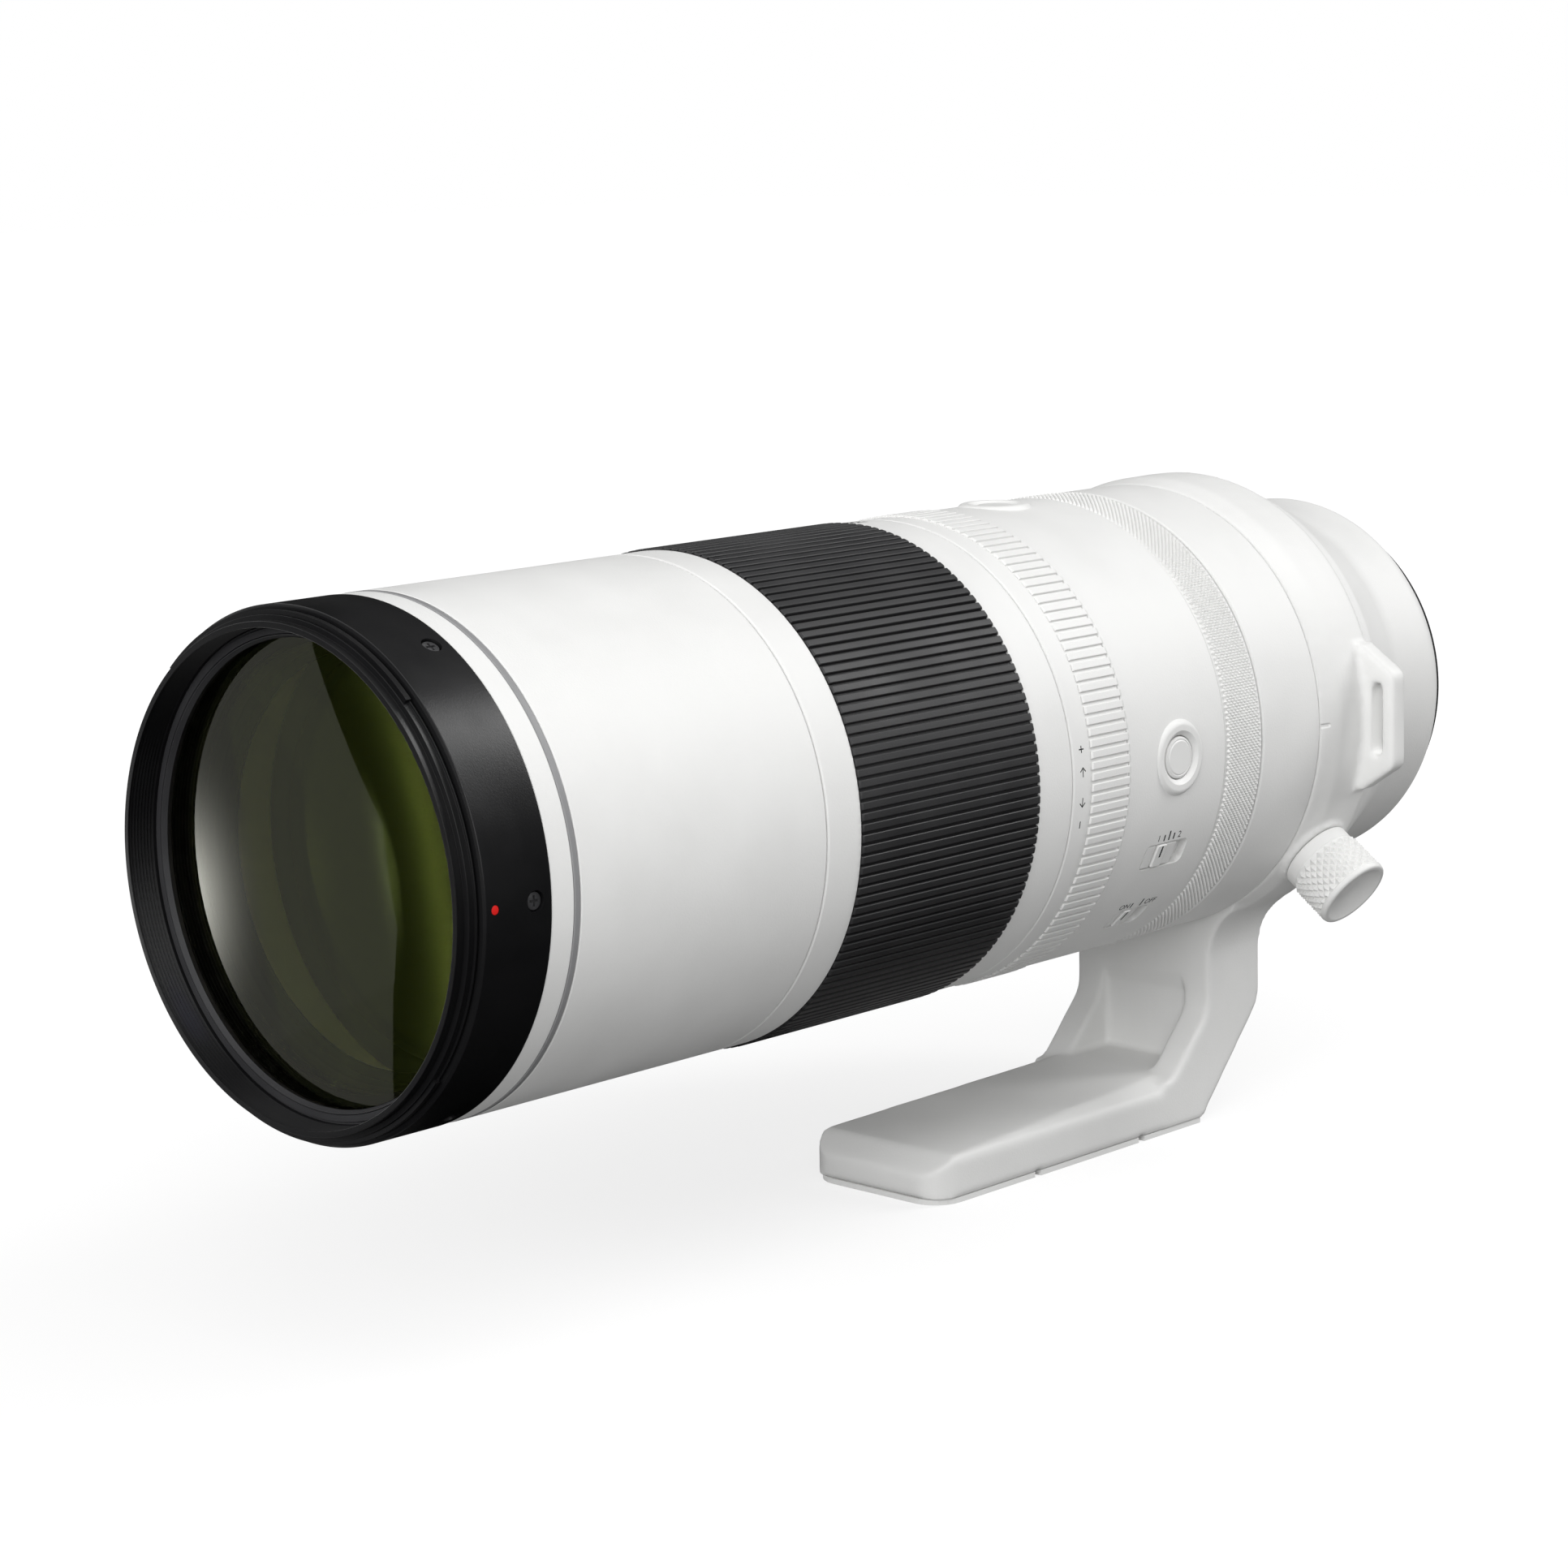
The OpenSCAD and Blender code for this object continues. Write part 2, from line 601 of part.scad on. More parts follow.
// Black ring stack that holds the three front elements
module front_cell() color(black) turned([
    [front_glass_r + cell_gap, glass_edge_s - 0.6], [front_sleeve_in - seat_gap, glass_edge_s - 0.6],
    [front_sleeve_in - seat_gap, cell_back - 0.2], [third_r - 2 * cell_lip, cell_back - 0.2],
    [third_r - 2 * cell_lip, cell_back - 1.2], [third_r + cell_gap, cell_back - 1.2],
    [third_r + cell_gap, third_vertex - 3], [second_r + cell_gap, third_vertex - 3],
    [second_r + cell_gap, second_vertex + 0.4], [second_r - cell_lip, second_vertex],
    [second_r - cell_lip, glass_seat_s + 0.05], [front_glass_r + cell_gap, glass_seat_s]]);

module extension_tube() color(dark) difference() {
    turned([[extension_in, extension_s], [tube_in - seat_gap, extension_s],
        [tube_in - seat_gap, extension_s + extension_flange_t],
        [extension_r, extension_s + extension_flange_t], [extension_r, extension_end],
        [extension_in, extension_end]]);
    for (angle = follower_angles) post(follow_s, angle, 1.5 + seat_gap, extension_in - 1, extension_r + 1);
}

module cam_followers() color([0.80, 0.78, 0.70]) for (angle = follower_angles) {
    post(follow_s, angle, 1.5, extension_in + 0.1, extension_r + 0.2);
    post(follow_s, angle, follower_r, extension_r + 0.1, cam_r - 0.2);
}

module zoom_ring() color(white) difference() {
    turned([[zoom_in, s_zoom], [barrel_r - 0.5, s_zoom], [barrel_r, s_zoom + 0.5],
        [barrel_r, grip_s], [grip_in - seat_gap, grip_s], [grip_in - seat_gap, grip_s + grip_len],
        [barrel_r, grip_s + grip_len], [barrel_r, s_zoom_end - 0.5],
        [barrel_r - 0.5, s_zoom_end], [zoom_in, s_zoom_end]]);
    cam_screw_posts(cam_screw_r, cam_in + 0.3, barrel_r);
}

// Screws that fix the cam barrel in the zoom ring, clear of the slots
module cam_screw_posts(r, d0, d1) for (angle = follower_angles)
    post(cam_screw_s, angle + zoom_turn * (follow_s - cam_screw_s) / zoom_travel + 60, r, d0, d1);

module zoom_grip() color(dark) sliced(grip_s + 0.1, grip_s + grip_len - 0.1)
    grooved(grip_in, grip_r, grip_ribs, grip_groove_w, grip_groove_d);

// Helical slot in the cam barrel: a follower at rest sits in its rear end
module cam_slot(angle) {
    cam_mid = (cam_r + cam_in) / 2;
    sweep = cam_mid * zoom_turn * PI / 180;
    step = norm([sweep, zoom_travel]) / cam_steps;
    for (i = [0 : cam_steps - 1]) let (part = (i + 0.5) / cam_steps)
        radial(follow_s - part * zoom_travel, angle + part * zoom_turn)
            rotate(-atan2(sweep, zoom_travel)) translate([-slot_r, -step / 2 - 0.2, cam_in - 1])
                cube([2 * slot_r, step + 0.4, cam_wall + 2]);
    post(follow_s, angle, slot_r, cam_in - 1, cam_r + 1);
    post(follow_s - zoom_travel, angle + zoom_turn, slot_r, cam_in - 1, cam_r + 1);
}

module cam_barrel() color(metal) difference() {
    ring(cam_in, cam_r, cam_s, cam_end);
    for (angle = follower_angles) cam_slot(angle);
    cam_screw_posts(cam_screw_r, cam_in - 0.5, cam_r + 0.5);
}

module cam_screws() color(metal) cam_screw_posts(cam_screw_r - seat_gap, cam_in + 0.3, grip_in - 0.3);

module tension_ring() color(white) {
    turned([[ring_r, s_tension], [barrel_r - 0.5, s_tension], [barrel_r, s_tension + 0.5],
        [barrel_r, s_tension + tension_land], [ring_r, s_tension + tension_land]], at = 0);
    sliced(s_tension + tension_land, s_tension_end)
        grooved(ring_r, barrel_r + tooth_rise, tension_teeth, tooth_groove_w, tooth_rise + 0.15);
}

module control_ring() color(white)
    turned([[ring_r, s_control], [barrel_r - 0.2, s_control], [barrel_r + 0.3, s_control + 0.5],
        [barrel_r + 0.3, s_control_end - 0.5], [barrel_r - 0.2, s_control_end], [ring_r, s_control_end]]);

// Place of a button on the switch barrel
module at_button(angle) radial(s_switch + button_in, angle) children();

// Raised pad round a button, with a shallow dish
module button_pad(angle) at_button(angle) translate([0, 0, sleeve_in + 1])
    cylinder(r1 = pad_r + 0.6, r2 = pad_r, h = barrel_r + 0.4 - sleeve_in - 1);

// Stepped hole that keeps a button in from the outside
module button_hole(angle) at_button(angle) {
    translate([0, 0, sleeve_in - 2]) cylinder(r = button_r + 1.1, h = 3.3);
    cylinder(r = button_r + 0.25, h = barrel_r + 5);
    translate([0, 0, barrel_r - 0.3]) cylinder(r1 = button_r + 0.3, r2 = pad_r - 1, h = 0.8);
}

// Window pocket for a slider, its length counted back from the front edge
module window(length, front, angle) radial(s_switch + front, -angle)
    translate([-window_w / 2, 0, sleeve_in + 0.7]) cube([window_w, length, 6]);

// Distances of the two windows behind the front edge of the switch barrel
mode_front = 9.8;
stab_front = 11.6;

module switch_barrel() color(white) difference() {
    union() {
        turned([[sleeve_in, s_tension + 0.4], [sleeve_r, s_tension + 0.4], [sleeve_r, s_switch],
            [barrel_r - 0.4, s_switch], [barrel_r, s_switch + 0.4], [barrel_r, s_switch_end - 0.4],
            [barrel_r - 0.4, s_switch_end], [sleeve_r, s_switch_end], [sleeve_r, s_plain + 6],
            [sleeve_in, s_plain + 6]]);
        button_pad(0);
        button_pad(90);
    }
    button_hole(0);
    button_hole(90);
    window(mode_window, mode_front, mode_angle);
    window(stab_window, stab_front, stab_angle);
    ring(0, sleeve_in, s_tension, s_plain + 7);
}

// Push button held under the lip of its hole
module push_button(angle) color(white) at_button(angle) rotate_extrude() polygon(rounded([
    [0, sleeve_in + 0.6, 0], [button_r + 0.8, sleeve_in + 0.6, 0], [button_r + 0.8, sleeve_in + 1.1, 0],
    [button_r, sleeve_in + 1.1, 0], [button_r, barrel_r - 0.25, 0.5], [button_r - 1, barrel_r + 0.05, 0],
    [0, barrel_r - 0.15, 0]]));

module side_button() push_button(0);

module top_button() push_button(90);

// Slider in a window, with a thumb rib in its middle
module slider(length, front, angle) color(white) radial(s_switch + front, -angle)
    translate([0, 0.3, sleeve_in + 0.9]) {
        body = length - slider_travel - 0.6;
        translate([-window_w / 2 + 0.25, 0, 0]) cube([window_w - 0.5, body, 1.5]);
        translate([-window_w / 2 + 0.6, body / 2 - 2, 1.4]) cube([window_w - 1.2, 4, 0.7]);
    }

module focus_mode_switch() slider(mode_window, mode_front, mode_angle);

module stabilizer_switch() slider(stab_window, stab_front, stab_angle);

module guide_barrel() color(metal) difference() {
    turned([[guide_in, guide_s], [zoom_in - run_gap, guide_s],
        [zoom_in - run_gap, guide_s + guide_nose_len], [guide_r, guide_s + guide_nose_len],
        [guide_r, guide_end - guide_flange_len],
        [sleeve_in - seat_gap, guide_end - guide_flange_len], [sleeve_in - seat_gap, guide_end],
        [guide_in, guide_end]]);
    for (angle = follower_angles) radial(follow_s - zoom_travel / 2, angle) translate([0, 0, guide_in - 1])
        linear_extrude(guide_wall + 2) {
            square([2 * slot_r, zoom_travel], center = true);
            for (end = [-1, 1]) translate([0, end * zoom_travel / 2]) circle(slot_r);
        }
}

// Places of the two focus rods
module at_rods() for (angle = [60, 240]) rotate(angle) translate([rod_at, 0]) children();

module inner_frame() color(black) difference() {
    turned([[frame_in, frame_s], [frame_r, frame_s], [frame_r, wall_s], [guide_in - seat_gap, wall_s],
        [guide_in - seat_gap, wall_s + wall_t], [22, wall_s + wall_t], [22, wall_s], [frame_in, wall_s]]);
    sliced(wall_s - 1, wall_s + 2.5) at_rods() circle(rod_r + seat_gap);
}

module middle_cell() color(black) turned([[middle_r + cell_gap, frame_s], [frame_in - seat_gap, frame_s],
    [frame_in - seat_gap, frame_s + middle_len], [middle_r - 2 * cell_lip, frame_s + middle_len],
    [middle_r - 2 * cell_lip, frame_s + middle_len - 2], [middle_r + cell_gap, frame_s + middle_len - 2]]);

module middle_element() color(glass) turned(lens(frame_s + 4, middle_r, 3, -200, 260));

module stabilizer_base() color(dark)
    ring(stab_glass_r, frame_in - seat_gap, stab_s, stab_s + stab_base_t);

module stabilizer_coils() color([0.72, 0.40, 0.20]) for (angle = [45, 135])
    sliced(stab_s + stab_base_t, stab_s + stab_base_t + 3) rotate(angle)
        arc_2d(coil_r, coil_r + coil_w, -18, 18);

module stabilizer_guide() color(metal)
    ring(stab_glass_r + 1.5, coil_r - 2, stab_s + stab_base_t + 0.3, stab_s + stab_base_t + 1.8);

module stabilizer_cell() color(black) turned([[stab_glass_r + cell_gap, stab_cell_s],
    [coil_r - 2.5, stab_cell_s], [coil_r - 2.5, stab_cell_s + 3], [stab_glass_r + 3, stab_cell_s + 3],
    [stab_glass_r + 3, stab_cell_s + 8], [stab_glass_r - 2 * cell_lip, stab_cell_s + 8],
    [stab_glass_r - 2 * cell_lip, stab_cell_s + 6.5], [stab_glass_r + cell_gap, stab_cell_s + 6.5]]);

module stabilizer_element() color(glass) turned(lens(stab_cell_s + 1.1, stab_glass_r, 3, -110, 150));

module diaphragm_base() color(dark) {
    ring(iris_r, frame_in - seat_gap, iris_s, iris_s + iris_base_t);
    for (i = [0 : blades - 1]) sliced(iris_s + iris_base_t - 0.1, iris_cover_s - 0.1)
        rotate(i * 360 / blades) translate([blade_pin_at, 0]) circle(0.7);
}

// Crescent blades at full opening, each on its own pin and at its own level
module diaphragm_blades() color(black) for (i = [0 : blades - 1])
    sliced(iris_s + iris_base_t + 0.2 + i * blade_pitch,
            iris_s + iris_base_t + 0.2 + i * blade_pitch + blade_t)
        rotate(i * 360 / blades) difference() {
            union() {
                arc_2d(iris_r + 0.5, blade_pin_at - 3, -4, 96);
                translate([blade_pin_at, 0]) circle(2, $fn = 32);
                translate([blade_pin_at - 4, -2]) square([4, 4]);
            }
            translate([blade_pin_at, 0]) circle(0.75);
        }

module diaphragm_cover() color(dark) difference() {
    ring(iris_r, frame_in - seat_gap, iris_cover_s, iris_cover_s + iris_cover_t);
    sliced(iris_cover_s - 1, iris_cover_s + iris_cover_t + 1) at_rods() circle(rod_r + seat_gap);
}

module focus_rods() color(metal) sliced(iris_cover_s + 0.1, wall_s + 2.4) at_rods() circle(rod_r);

module focus_motor() color(dark) sliced(iris_cover_s + iris_cover_t, wall_s - 0.1)
    arc_2d(frame_in - 5, frame_in - seat_gap, 130, 170);

module focus_cell() color(black) difference() {
    union() {
        turned([[focus_glass_r + cell_gap, focus_s], [focus_cell_r, focus_s],
            [focus_cell_r, focus_s + focus_len], [focus_glass_r - 2 * cell_lip, focus_s + focus_len],
            [focus_glass_r - 2 * cell_lip, focus_s + focus_len - 2],
            [focus_glass_r + cell_gap, focus_s + focus_len - 2]]);
        sliced(focus_s, focus_s + focus_len) at_rods() {
            circle(rod_r + 1.8);
            translate([focus_cell_r - rod_at - rod_r, -2]) square([rod_at - focus_cell_r, 4]);
        }
    }
    sliced(focus_s - 1, focus_s + focus_len + 1) at_rods() circle(rod_r + rod_gap);
}

module focus_element() color(glass) turned(lens(focus_s + 2.2, focus_glass_r, focus_glass_t, 130, 200));

module rear_cell() color(black) turned([[28.1, guide_end - guide_flange_len - 1.4],
    [guide_in - seat_gap, guide_end - guide_flange_len - 1.4], [guide_in - seat_gap, guide_end - 1],
    [34, guide_end - 1], [34, rear_cell_end], [24, rear_cell_end], [24, rear_cell_end - 2],
    [26.1, rear_cell_end - 2], [26.1, rear_cell_end - 9], [26, guide_end], [26, guide_end - 1],
    [28.1, guide_end - 1]]);

module rear_elements() color(glass) {
    turned(lens(guide_end - 7.6, 28, 5, 140, -200));
    turned(lens(rear_cell_end - 7.2, 26, 4, -180, 300));
}

module rear_barrel() color(white) turned([[sleeve_in, s_plain + 6.1], [sleeve_r + seat_gap, s_plain + 6.1],
    [sleeve_r + seat_gap, s_plain], [barrel_r - 0.4, s_plain], [barrel_r, s_plain + 0.4],
    [barrel_r, s_plain_end - 0.4], [barrel_r - 0.4, s_plain_end], [journal_r, s_plain_end],
    [journal_r, s_cover - 0.1], [spigot_seat_r, s_cover - 0.1], [spigot_seat_r, board_s],
    [rear_in, board_s], [rear_in, guide_end + 0.1], [sleeve_in, guide_end + 0.1]]);

module main_board() color([0.05, 0.30, 0.18]) difference() {
    ring(28, spigot_seat_r - 0.3, board_s, board_s + 1.6);
    sliced(board_s - 1, board_s + 3) for (angle = [20, 200]) rotate(angle)
        translate([25, -5]) square([6, 10]);
}

module rear_cover() color(white) difference() {
    turned(rounded([[spigot_seat_r + seat_gap, s_cover, 0], [journal_r + 1.5, s_cover, 0.6],
        [journal_r + 1.1, s_cover + 4.5, 5], [tail_r, s_cover + 21, 14], [tail_r - 0.3, s_cover_end - 5, 6],
        [tail_end_r, s_cover_end - 0.4, 1], [tail_end_r - 0.6, s_cover_end, 0],
        [throat_r + 2, s_cover_end, 0], [throat_r + 2, s_cover_end - 3, 0],
        [tail_r - cover_wall - 3.5, s_cover_end - 3, 0],
        [tail_r - cover_wall - 0.3, s_cover_end - 6, 0], [tail_r - cover_wall, s_cover + 20, 0],
        [spigot_seat_r + seat_gap, board_s + 2.2, 0]]));
    sliced(s_cover_end - 4, s_cover_end + 1) for (i = [0 : 3]) rotate(45 + i * 90)
        translate([mount_screw_at, 0]) circle(0.9);
}

module mount_seal() color(black) turned([[seal_in, s_cover_end], [tail_end_r - 0.9, s_cover_end],
    [tail_end_r - 0.5, s_cover_end + 1.1], [seal_in, s_cover_end + 0.8]]);

module bayonet_mount() color(metal) difference() {
    union() {
        turned([[throat_r, s_cover_end], [flange_r, s_cover_end], [flange_r, s_flange - 0.3],
            [flange_r - 0.3, s_flange], [spigot_r + 1.8, s_flange], [spigot_r + 1.8, s_flange - 0.4],
            [spigot_r, s_flange - 0.4], [spigot_r, s_flange + spigot_len - 0.4],
            [spigot_r - 0.4, s_flange + spigot_len], [throat_r, s_flange + spigot_len]]);
        for (i = [0 : 2]) sliced(s_flange + 2.6, s_flange + 4.4) rotate(15 + i * 120)
            arc_2d(spigot_r - 0.5, spigot_r + lug_rise, -26, 26);
    }
    sliced(s_cover_end - 1, s_flange + 1) for (i = [0 : 3]) rotate(45 + i * 90)
        translate([mount_screw_at, 0]) circle(0.9);
    sliced(s_flange - 1.1, s_flange + 1) for (i = [0 : 3]) rotate(45 + i * 90)
        translate([mount_screw_at, 0]) circle(1.8);
}

module mount_screws() color(dark) for (i = [0 : 3]) {
    sliced(s_flange - 1.05, s_flange - 0.25) rotate(45 + i * 90) translate([mount_screw_at, 0]) circle(1.7);
    sliced(s_cover_end - 2.8, s_flange - 1) rotate(45 + i * 90) translate([mount_screw_at, 0]) circle(0.85);
}

module rear_baffle() color(black) difference() {
    ring(0, throat_r - seat_gap, s_cover_end, s_cover_end + 1.5);
    sliced(s_cover_end - 1, s_cover_end + 3) square([30, 21], center = true);
}

module contact_block() color(black) sliced(s_cover_end + 1.5, s_flange + spigot_len - 1.2)
    arc_2d(throat_r - 4, throat_r - seat_gap, 58, 122);

module contact_pins() color([0.80, 0.65, 0.30])
    sliced(s_flange + spigot_len - 1.2, s_flange + spigot_len - 0.7)
        for (i = [0 : 11]) rotate(90 + (i - 5.5) * 5) translate([throat_r - 2, 0]) circle(0.55, $fn = 24);

tripod_collar();
foot_pad();
foot_pad_screws();
tripod_bush();
collar_lining();
clamp_shoe();
lock_knob();
lock_screw();
hood_mount();
hood_mount_screws();
index_dot();
front_band();
trim_ring();
front_tube();
front_retainer();
front_element();
second_element();
third_element();
front_cell();
extension_tube();
cam_followers();
zoom_ring();
zoom_grip();
cam_barrel();
cam_screws();
tension_ring();
control_ring();
switch_barrel();
side_button();
top_button();
focus_mode_switch();
stabilizer_switch();
guide_barrel();
inner_frame();
middle_cell();
middle_element();
stabilizer_base();
stabilizer_coils();
stabilizer_guide();
stabilizer_cell();
stabilizer_element();
diaphragm_base();
diaphragm_blades();
diaphragm_cover();
focus_rods();
focus_motor();
focus_cell();
focus_element();
rear_cell();
rear_elements();
rear_barrel();
main_board();
rear_cover();
mount_seal();
bayonet_mount();
mount_screws();
rear_baffle();
contact_block();
contact_pins();
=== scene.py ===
import math

import bmesh
import bpy
from mathutils import Matrix, Vector


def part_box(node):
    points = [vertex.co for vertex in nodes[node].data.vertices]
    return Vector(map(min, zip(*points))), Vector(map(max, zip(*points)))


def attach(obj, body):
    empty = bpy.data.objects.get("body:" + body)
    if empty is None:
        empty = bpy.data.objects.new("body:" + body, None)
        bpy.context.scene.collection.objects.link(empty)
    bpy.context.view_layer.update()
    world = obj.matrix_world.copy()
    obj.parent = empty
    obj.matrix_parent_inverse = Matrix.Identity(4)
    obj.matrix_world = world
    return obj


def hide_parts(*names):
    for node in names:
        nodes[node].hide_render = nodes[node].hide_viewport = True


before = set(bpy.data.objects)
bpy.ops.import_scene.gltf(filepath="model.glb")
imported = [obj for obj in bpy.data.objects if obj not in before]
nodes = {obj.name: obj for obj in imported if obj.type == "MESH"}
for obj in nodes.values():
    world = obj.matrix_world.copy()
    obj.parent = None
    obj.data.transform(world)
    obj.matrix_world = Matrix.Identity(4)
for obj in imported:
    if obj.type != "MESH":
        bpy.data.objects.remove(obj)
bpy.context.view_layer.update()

# Inner frame, lens cells and diaphragm: turned aluminium and thin steel, anodised matt black inside
# the barrel so that they swallow stray light. Screws and cemented seats hold them to one another.
MM = 0.001


def feed(node, values):
    """Sets a node's inputs, by name or number, to plain values or to other nodes' outputs"""
    for label, value in values.items():
        if isinstance(value, bpy.types.NodeSocket):
            node.id_data.links.new(value, node.inputs[label])
        else:
            node.inputs[label].default_value = value


def added(tree, kind, values=None, **settings):
    """Shader node with its settings, fed through its inputs"""
    node = tree.nodes.new("ShaderNode" + kind)
    for key, setting in settings.items():
        setattr(node, key, setting)
    feed(node, values or {})
    return node


def grain_group():
    """Fine surface grain: Height feeds a bump, Patch drifts slowly between 0 and 1"""
    group = bpy.data.node_groups.new("surface grain", "ShaderNodeTree")
    for label in ("Grains per Metre", "Patches per Metre"):
        group.interface.new_socket(label, in_out="INPUT", socket_type="NodeSocketFloat")
    for label in ("Height", "Patch"):
        group.interface.new_socket(label, in_out="OUTPUT", socket_type="NodeSocketFloat")
    given, result = group.nodes.new("NodeGroupInput").outputs, group.nodes.new("NodeGroupOutput")
    place = added(group, "TexCoord").outputs["Object"]
    fine = added(group, "TexNoise", {"Vector": place, "Scale": given["Grains per Metre"], "Detail": 1.5})
    slow = added(group, "TexNoise", {"Vector": place, "Scale": given["Patches per Metre"], "Detail": 4})
    patch = added(group, "MapRange", {"Value": slow.outputs["Fac"], "From Min": 0.3, "From Max": 0.7})
    feed(result, {"Height": fine.outputs["Fac"], "Patch": patch.outputs["Result"]})
    return group


surface_grain = grain_group()


def new_finish(name):
    """Empty material with its node tree and its shader"""
    material = bpy.data.materials.new(name)
    material.use_nodes = True
    return material, material.node_tree, material.node_tree.nodes["Principled BSDF"]


def coated(name, light, dark, rough, grains=3000, patches=60, relief=0.02, specular=0.5, metallic=0):
    """Paint, anodising or moulded plastic: two tones and two roughness values in patches over a grain"""
    material, tree, surface = new_finish(name)
    grain = added(tree, "Group", {"Grains per Metre": grains, "Patches per Metre": patches},
                  node_tree=surface_grain)
    patch = grain.outputs["Patch"]
    share, first_colour, second_colour, blend = 0, 6, 7, 2
    tone = added(tree, "Mix", {share: patch, first_colour: (*dark, 1), second_colour: (*light, 1)},
                 data_type="RGBA")
    gloss = added(tree, "MapRange", {"Value": patch, "To Min": rough[0], "To Max": rough[1]})
    bump = added(tree, "Bump", {"Height": grain.outputs["Height"], "Distance": relief * MM})
    feed(surface, {"Base Color": tone.outputs[blend], "Roughness": gloss.outputs["Result"],
                   "Normal": bump.outputs["Normal"], "Specular IOR Level": specular, "Metallic": metallic})
    return material


def dress(finish, *names):
    """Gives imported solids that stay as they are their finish"""
    for name in names:
        for place in nodes[name].material_slots:
            place.material = finish


anodised = coated("matt_black_anodising", (0.022, 0.022, 0.023), (0.015, 0.015, 0.016), (0.55, 0.7),
                  relief=0.01, specular=0.15)
dress(anodised, "inner_frame", "middle_cell", "stabilizer_base", "stabilizer_cell", "diaphragm_base",
      "diaphragm_cover", "focus_cell", "rear_cell")
blade_steel = coated("blackened_blade_steel", (0.03, 0.03, 0.032), (0.02, 0.02, 0.021), (0.35, 0.5),
                     relief=0.004, specular=0.3)
dress(blade_steel, "diaphragm_blades")

# Focus drive, stabiliser drive and main board: ground steel rods, copper coils, a moulded motor case
# and a green glass-fibre board, each screwed to the inner frame. Screws and followers share the rods' steel,
# and the lock's shoe and the contact pins are brass.
ground_steel = coated("ground_steel", (0.55, 0.55, 0.56), (0.48, 0.48, 0.49), (0.25, 0.4),
                      grains=6000, relief=0.003, metallic=1)
dress(ground_steel, "focus_rods", "cam_screws", "cam_followers", "lock_screw")
copper = coated("copper_wire", (0.72, 0.36, 0.2), (0.6, 0.28, 0.15), (0.3, 0.45), relief=0.02, metallic=1)
dress(copper, "stabilizer_coils")
motor_case = coated("motor_case", (0.05, 0.05, 0.055), (0.035, 0.035, 0.04), (0.4, 0.55))
dress(motor_case, "focus_motor")
board_green = coated("green_board", (0.03, 0.17, 0.09), (0.02, 0.13, 0.07), (0.3, 0.45), grains=900)
dress(board_green, "main_board")
shoe_brass = coated("shoe_brass", (0.7, 0.5, 0.22), (0.6, 0.42, 0.18), (0.3, 0.5), relief=0.004, metallic=1)
dress(shoe_brass, "clamp_shoe", "contact_pins")

# Guide barrel and cam barrel: thin-walled aluminium tubes with straight and helical slots milled in
# them, left in clear anodising so that the followers run easily.
slide_metal = coated("clear_anodising", (0.62, 0.63, 0.64), (0.54, 0.55, 0.56), (0.35, 0.5),
                     grains=5000, relief=0.004, metallic=1)
dress(slide_metal, "guide_barrel", "cam_barrel", "stabilizer_guide")


# Inner lens groups: optical glass, ground and polished, then coated thinly against reflections so that
# it mirrors only a little green. Each element is cemented into its cell.
def polished_glass(name, tint, ior, reflection, haze=0.004):
    """Coated optical glass: the colour of the light it passes, its index, the colour of what it reflects"""
    material, tree, surface = new_finish(name)
    grain = added(tree, "Group", {"Grains per Metre": 500, "Patches per Metre": 25},
                  node_tree=surface_grain)
    rough = added(tree, "MapRange", {"Value": grain.outputs["Patch"], "To Min": 0, "To Max": haze})
    feed(surface, {"Transmission Weight": 1, "Base Color": (*tint, 1), "IOR": ior,
                   "Specular Tint": (*reflection, 1), "Roughness": rough.outputs["Result"]})
    return material


inner_glass = polished_glass("inner_glass", (0.96, 0.97, 0.75), 1.27, (0.6, 0.75, 0.2))
dress(inner_glass, "middle_element", "stabilizer_element", "focus_element", "rear_elements")

# Extension tube: the black sleeve that carries the whole front group and shows when the lens is
# zoomed out. Turned aluminium with fine light-trap ridges inside, hard anodised and lightly greased.
# Stations run rearwards from the nose in millimetres. The rim's lip leads the nose a little.
rim_low, rim_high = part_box("hood_mount")
rim_lead = 1.2
rim_y = rim_low.y + rim_lead * MM
axis_z = (rim_low.z + rim_high.z) / 2


def on_axis(radius, station, angle):
    """Point at a radius and a station, angle up from the right-hand side"""
    turn = math.radians(angle)
    return Vector((radius * math.cos(turn) * MM, rim_y + station * MM,
                   axis_z + radius * math.sin(turn) * MM))


def span(node):
    """Stations of a node's front and rear faces"""
    low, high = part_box(node)
    return (low.y - rim_y) / MM, (high.y - rim_y) / MM


def rounded(outline, steps=4):
    """Outline from (radius, station, corner radius) points, each corner turned into a short arc"""
    points = []
    for i, (radius, station, bend) in enumerate(outline):
        here = Vector((radius, station))
        if bend == 0:
            points.append(tuple(here))
            continue
        back = Vector(outline[i - 1][:2]) - here
        ahead = Vector(outline[(i + 1) % len(outline)][:2]) - here
        half = back.angle(ahead) / 2
        trim = min(bend / math.tan(half), 0.48 * back.length, 0.48 * ahead.length)
        start, end = here + back.normalized() * trim, here + ahead.normalized() * trim
        centre = here + (back.normalized() + ahead.normalized()).normalized() * trim / math.cos(half)
        for k in range(steps + 1):
            ray = (start - centre).lerp(end - centre, k / steps).normalized()
            points.append(tuple(centre + ray * (start - centre).length))
    return points


def placed(name, data):
    """Object at the origin for a mesh, a lamp or other data"""
    part = bpy.data.objects.new(name, data)
    bpy.context.scene.collection.objects.link(part)
    return part


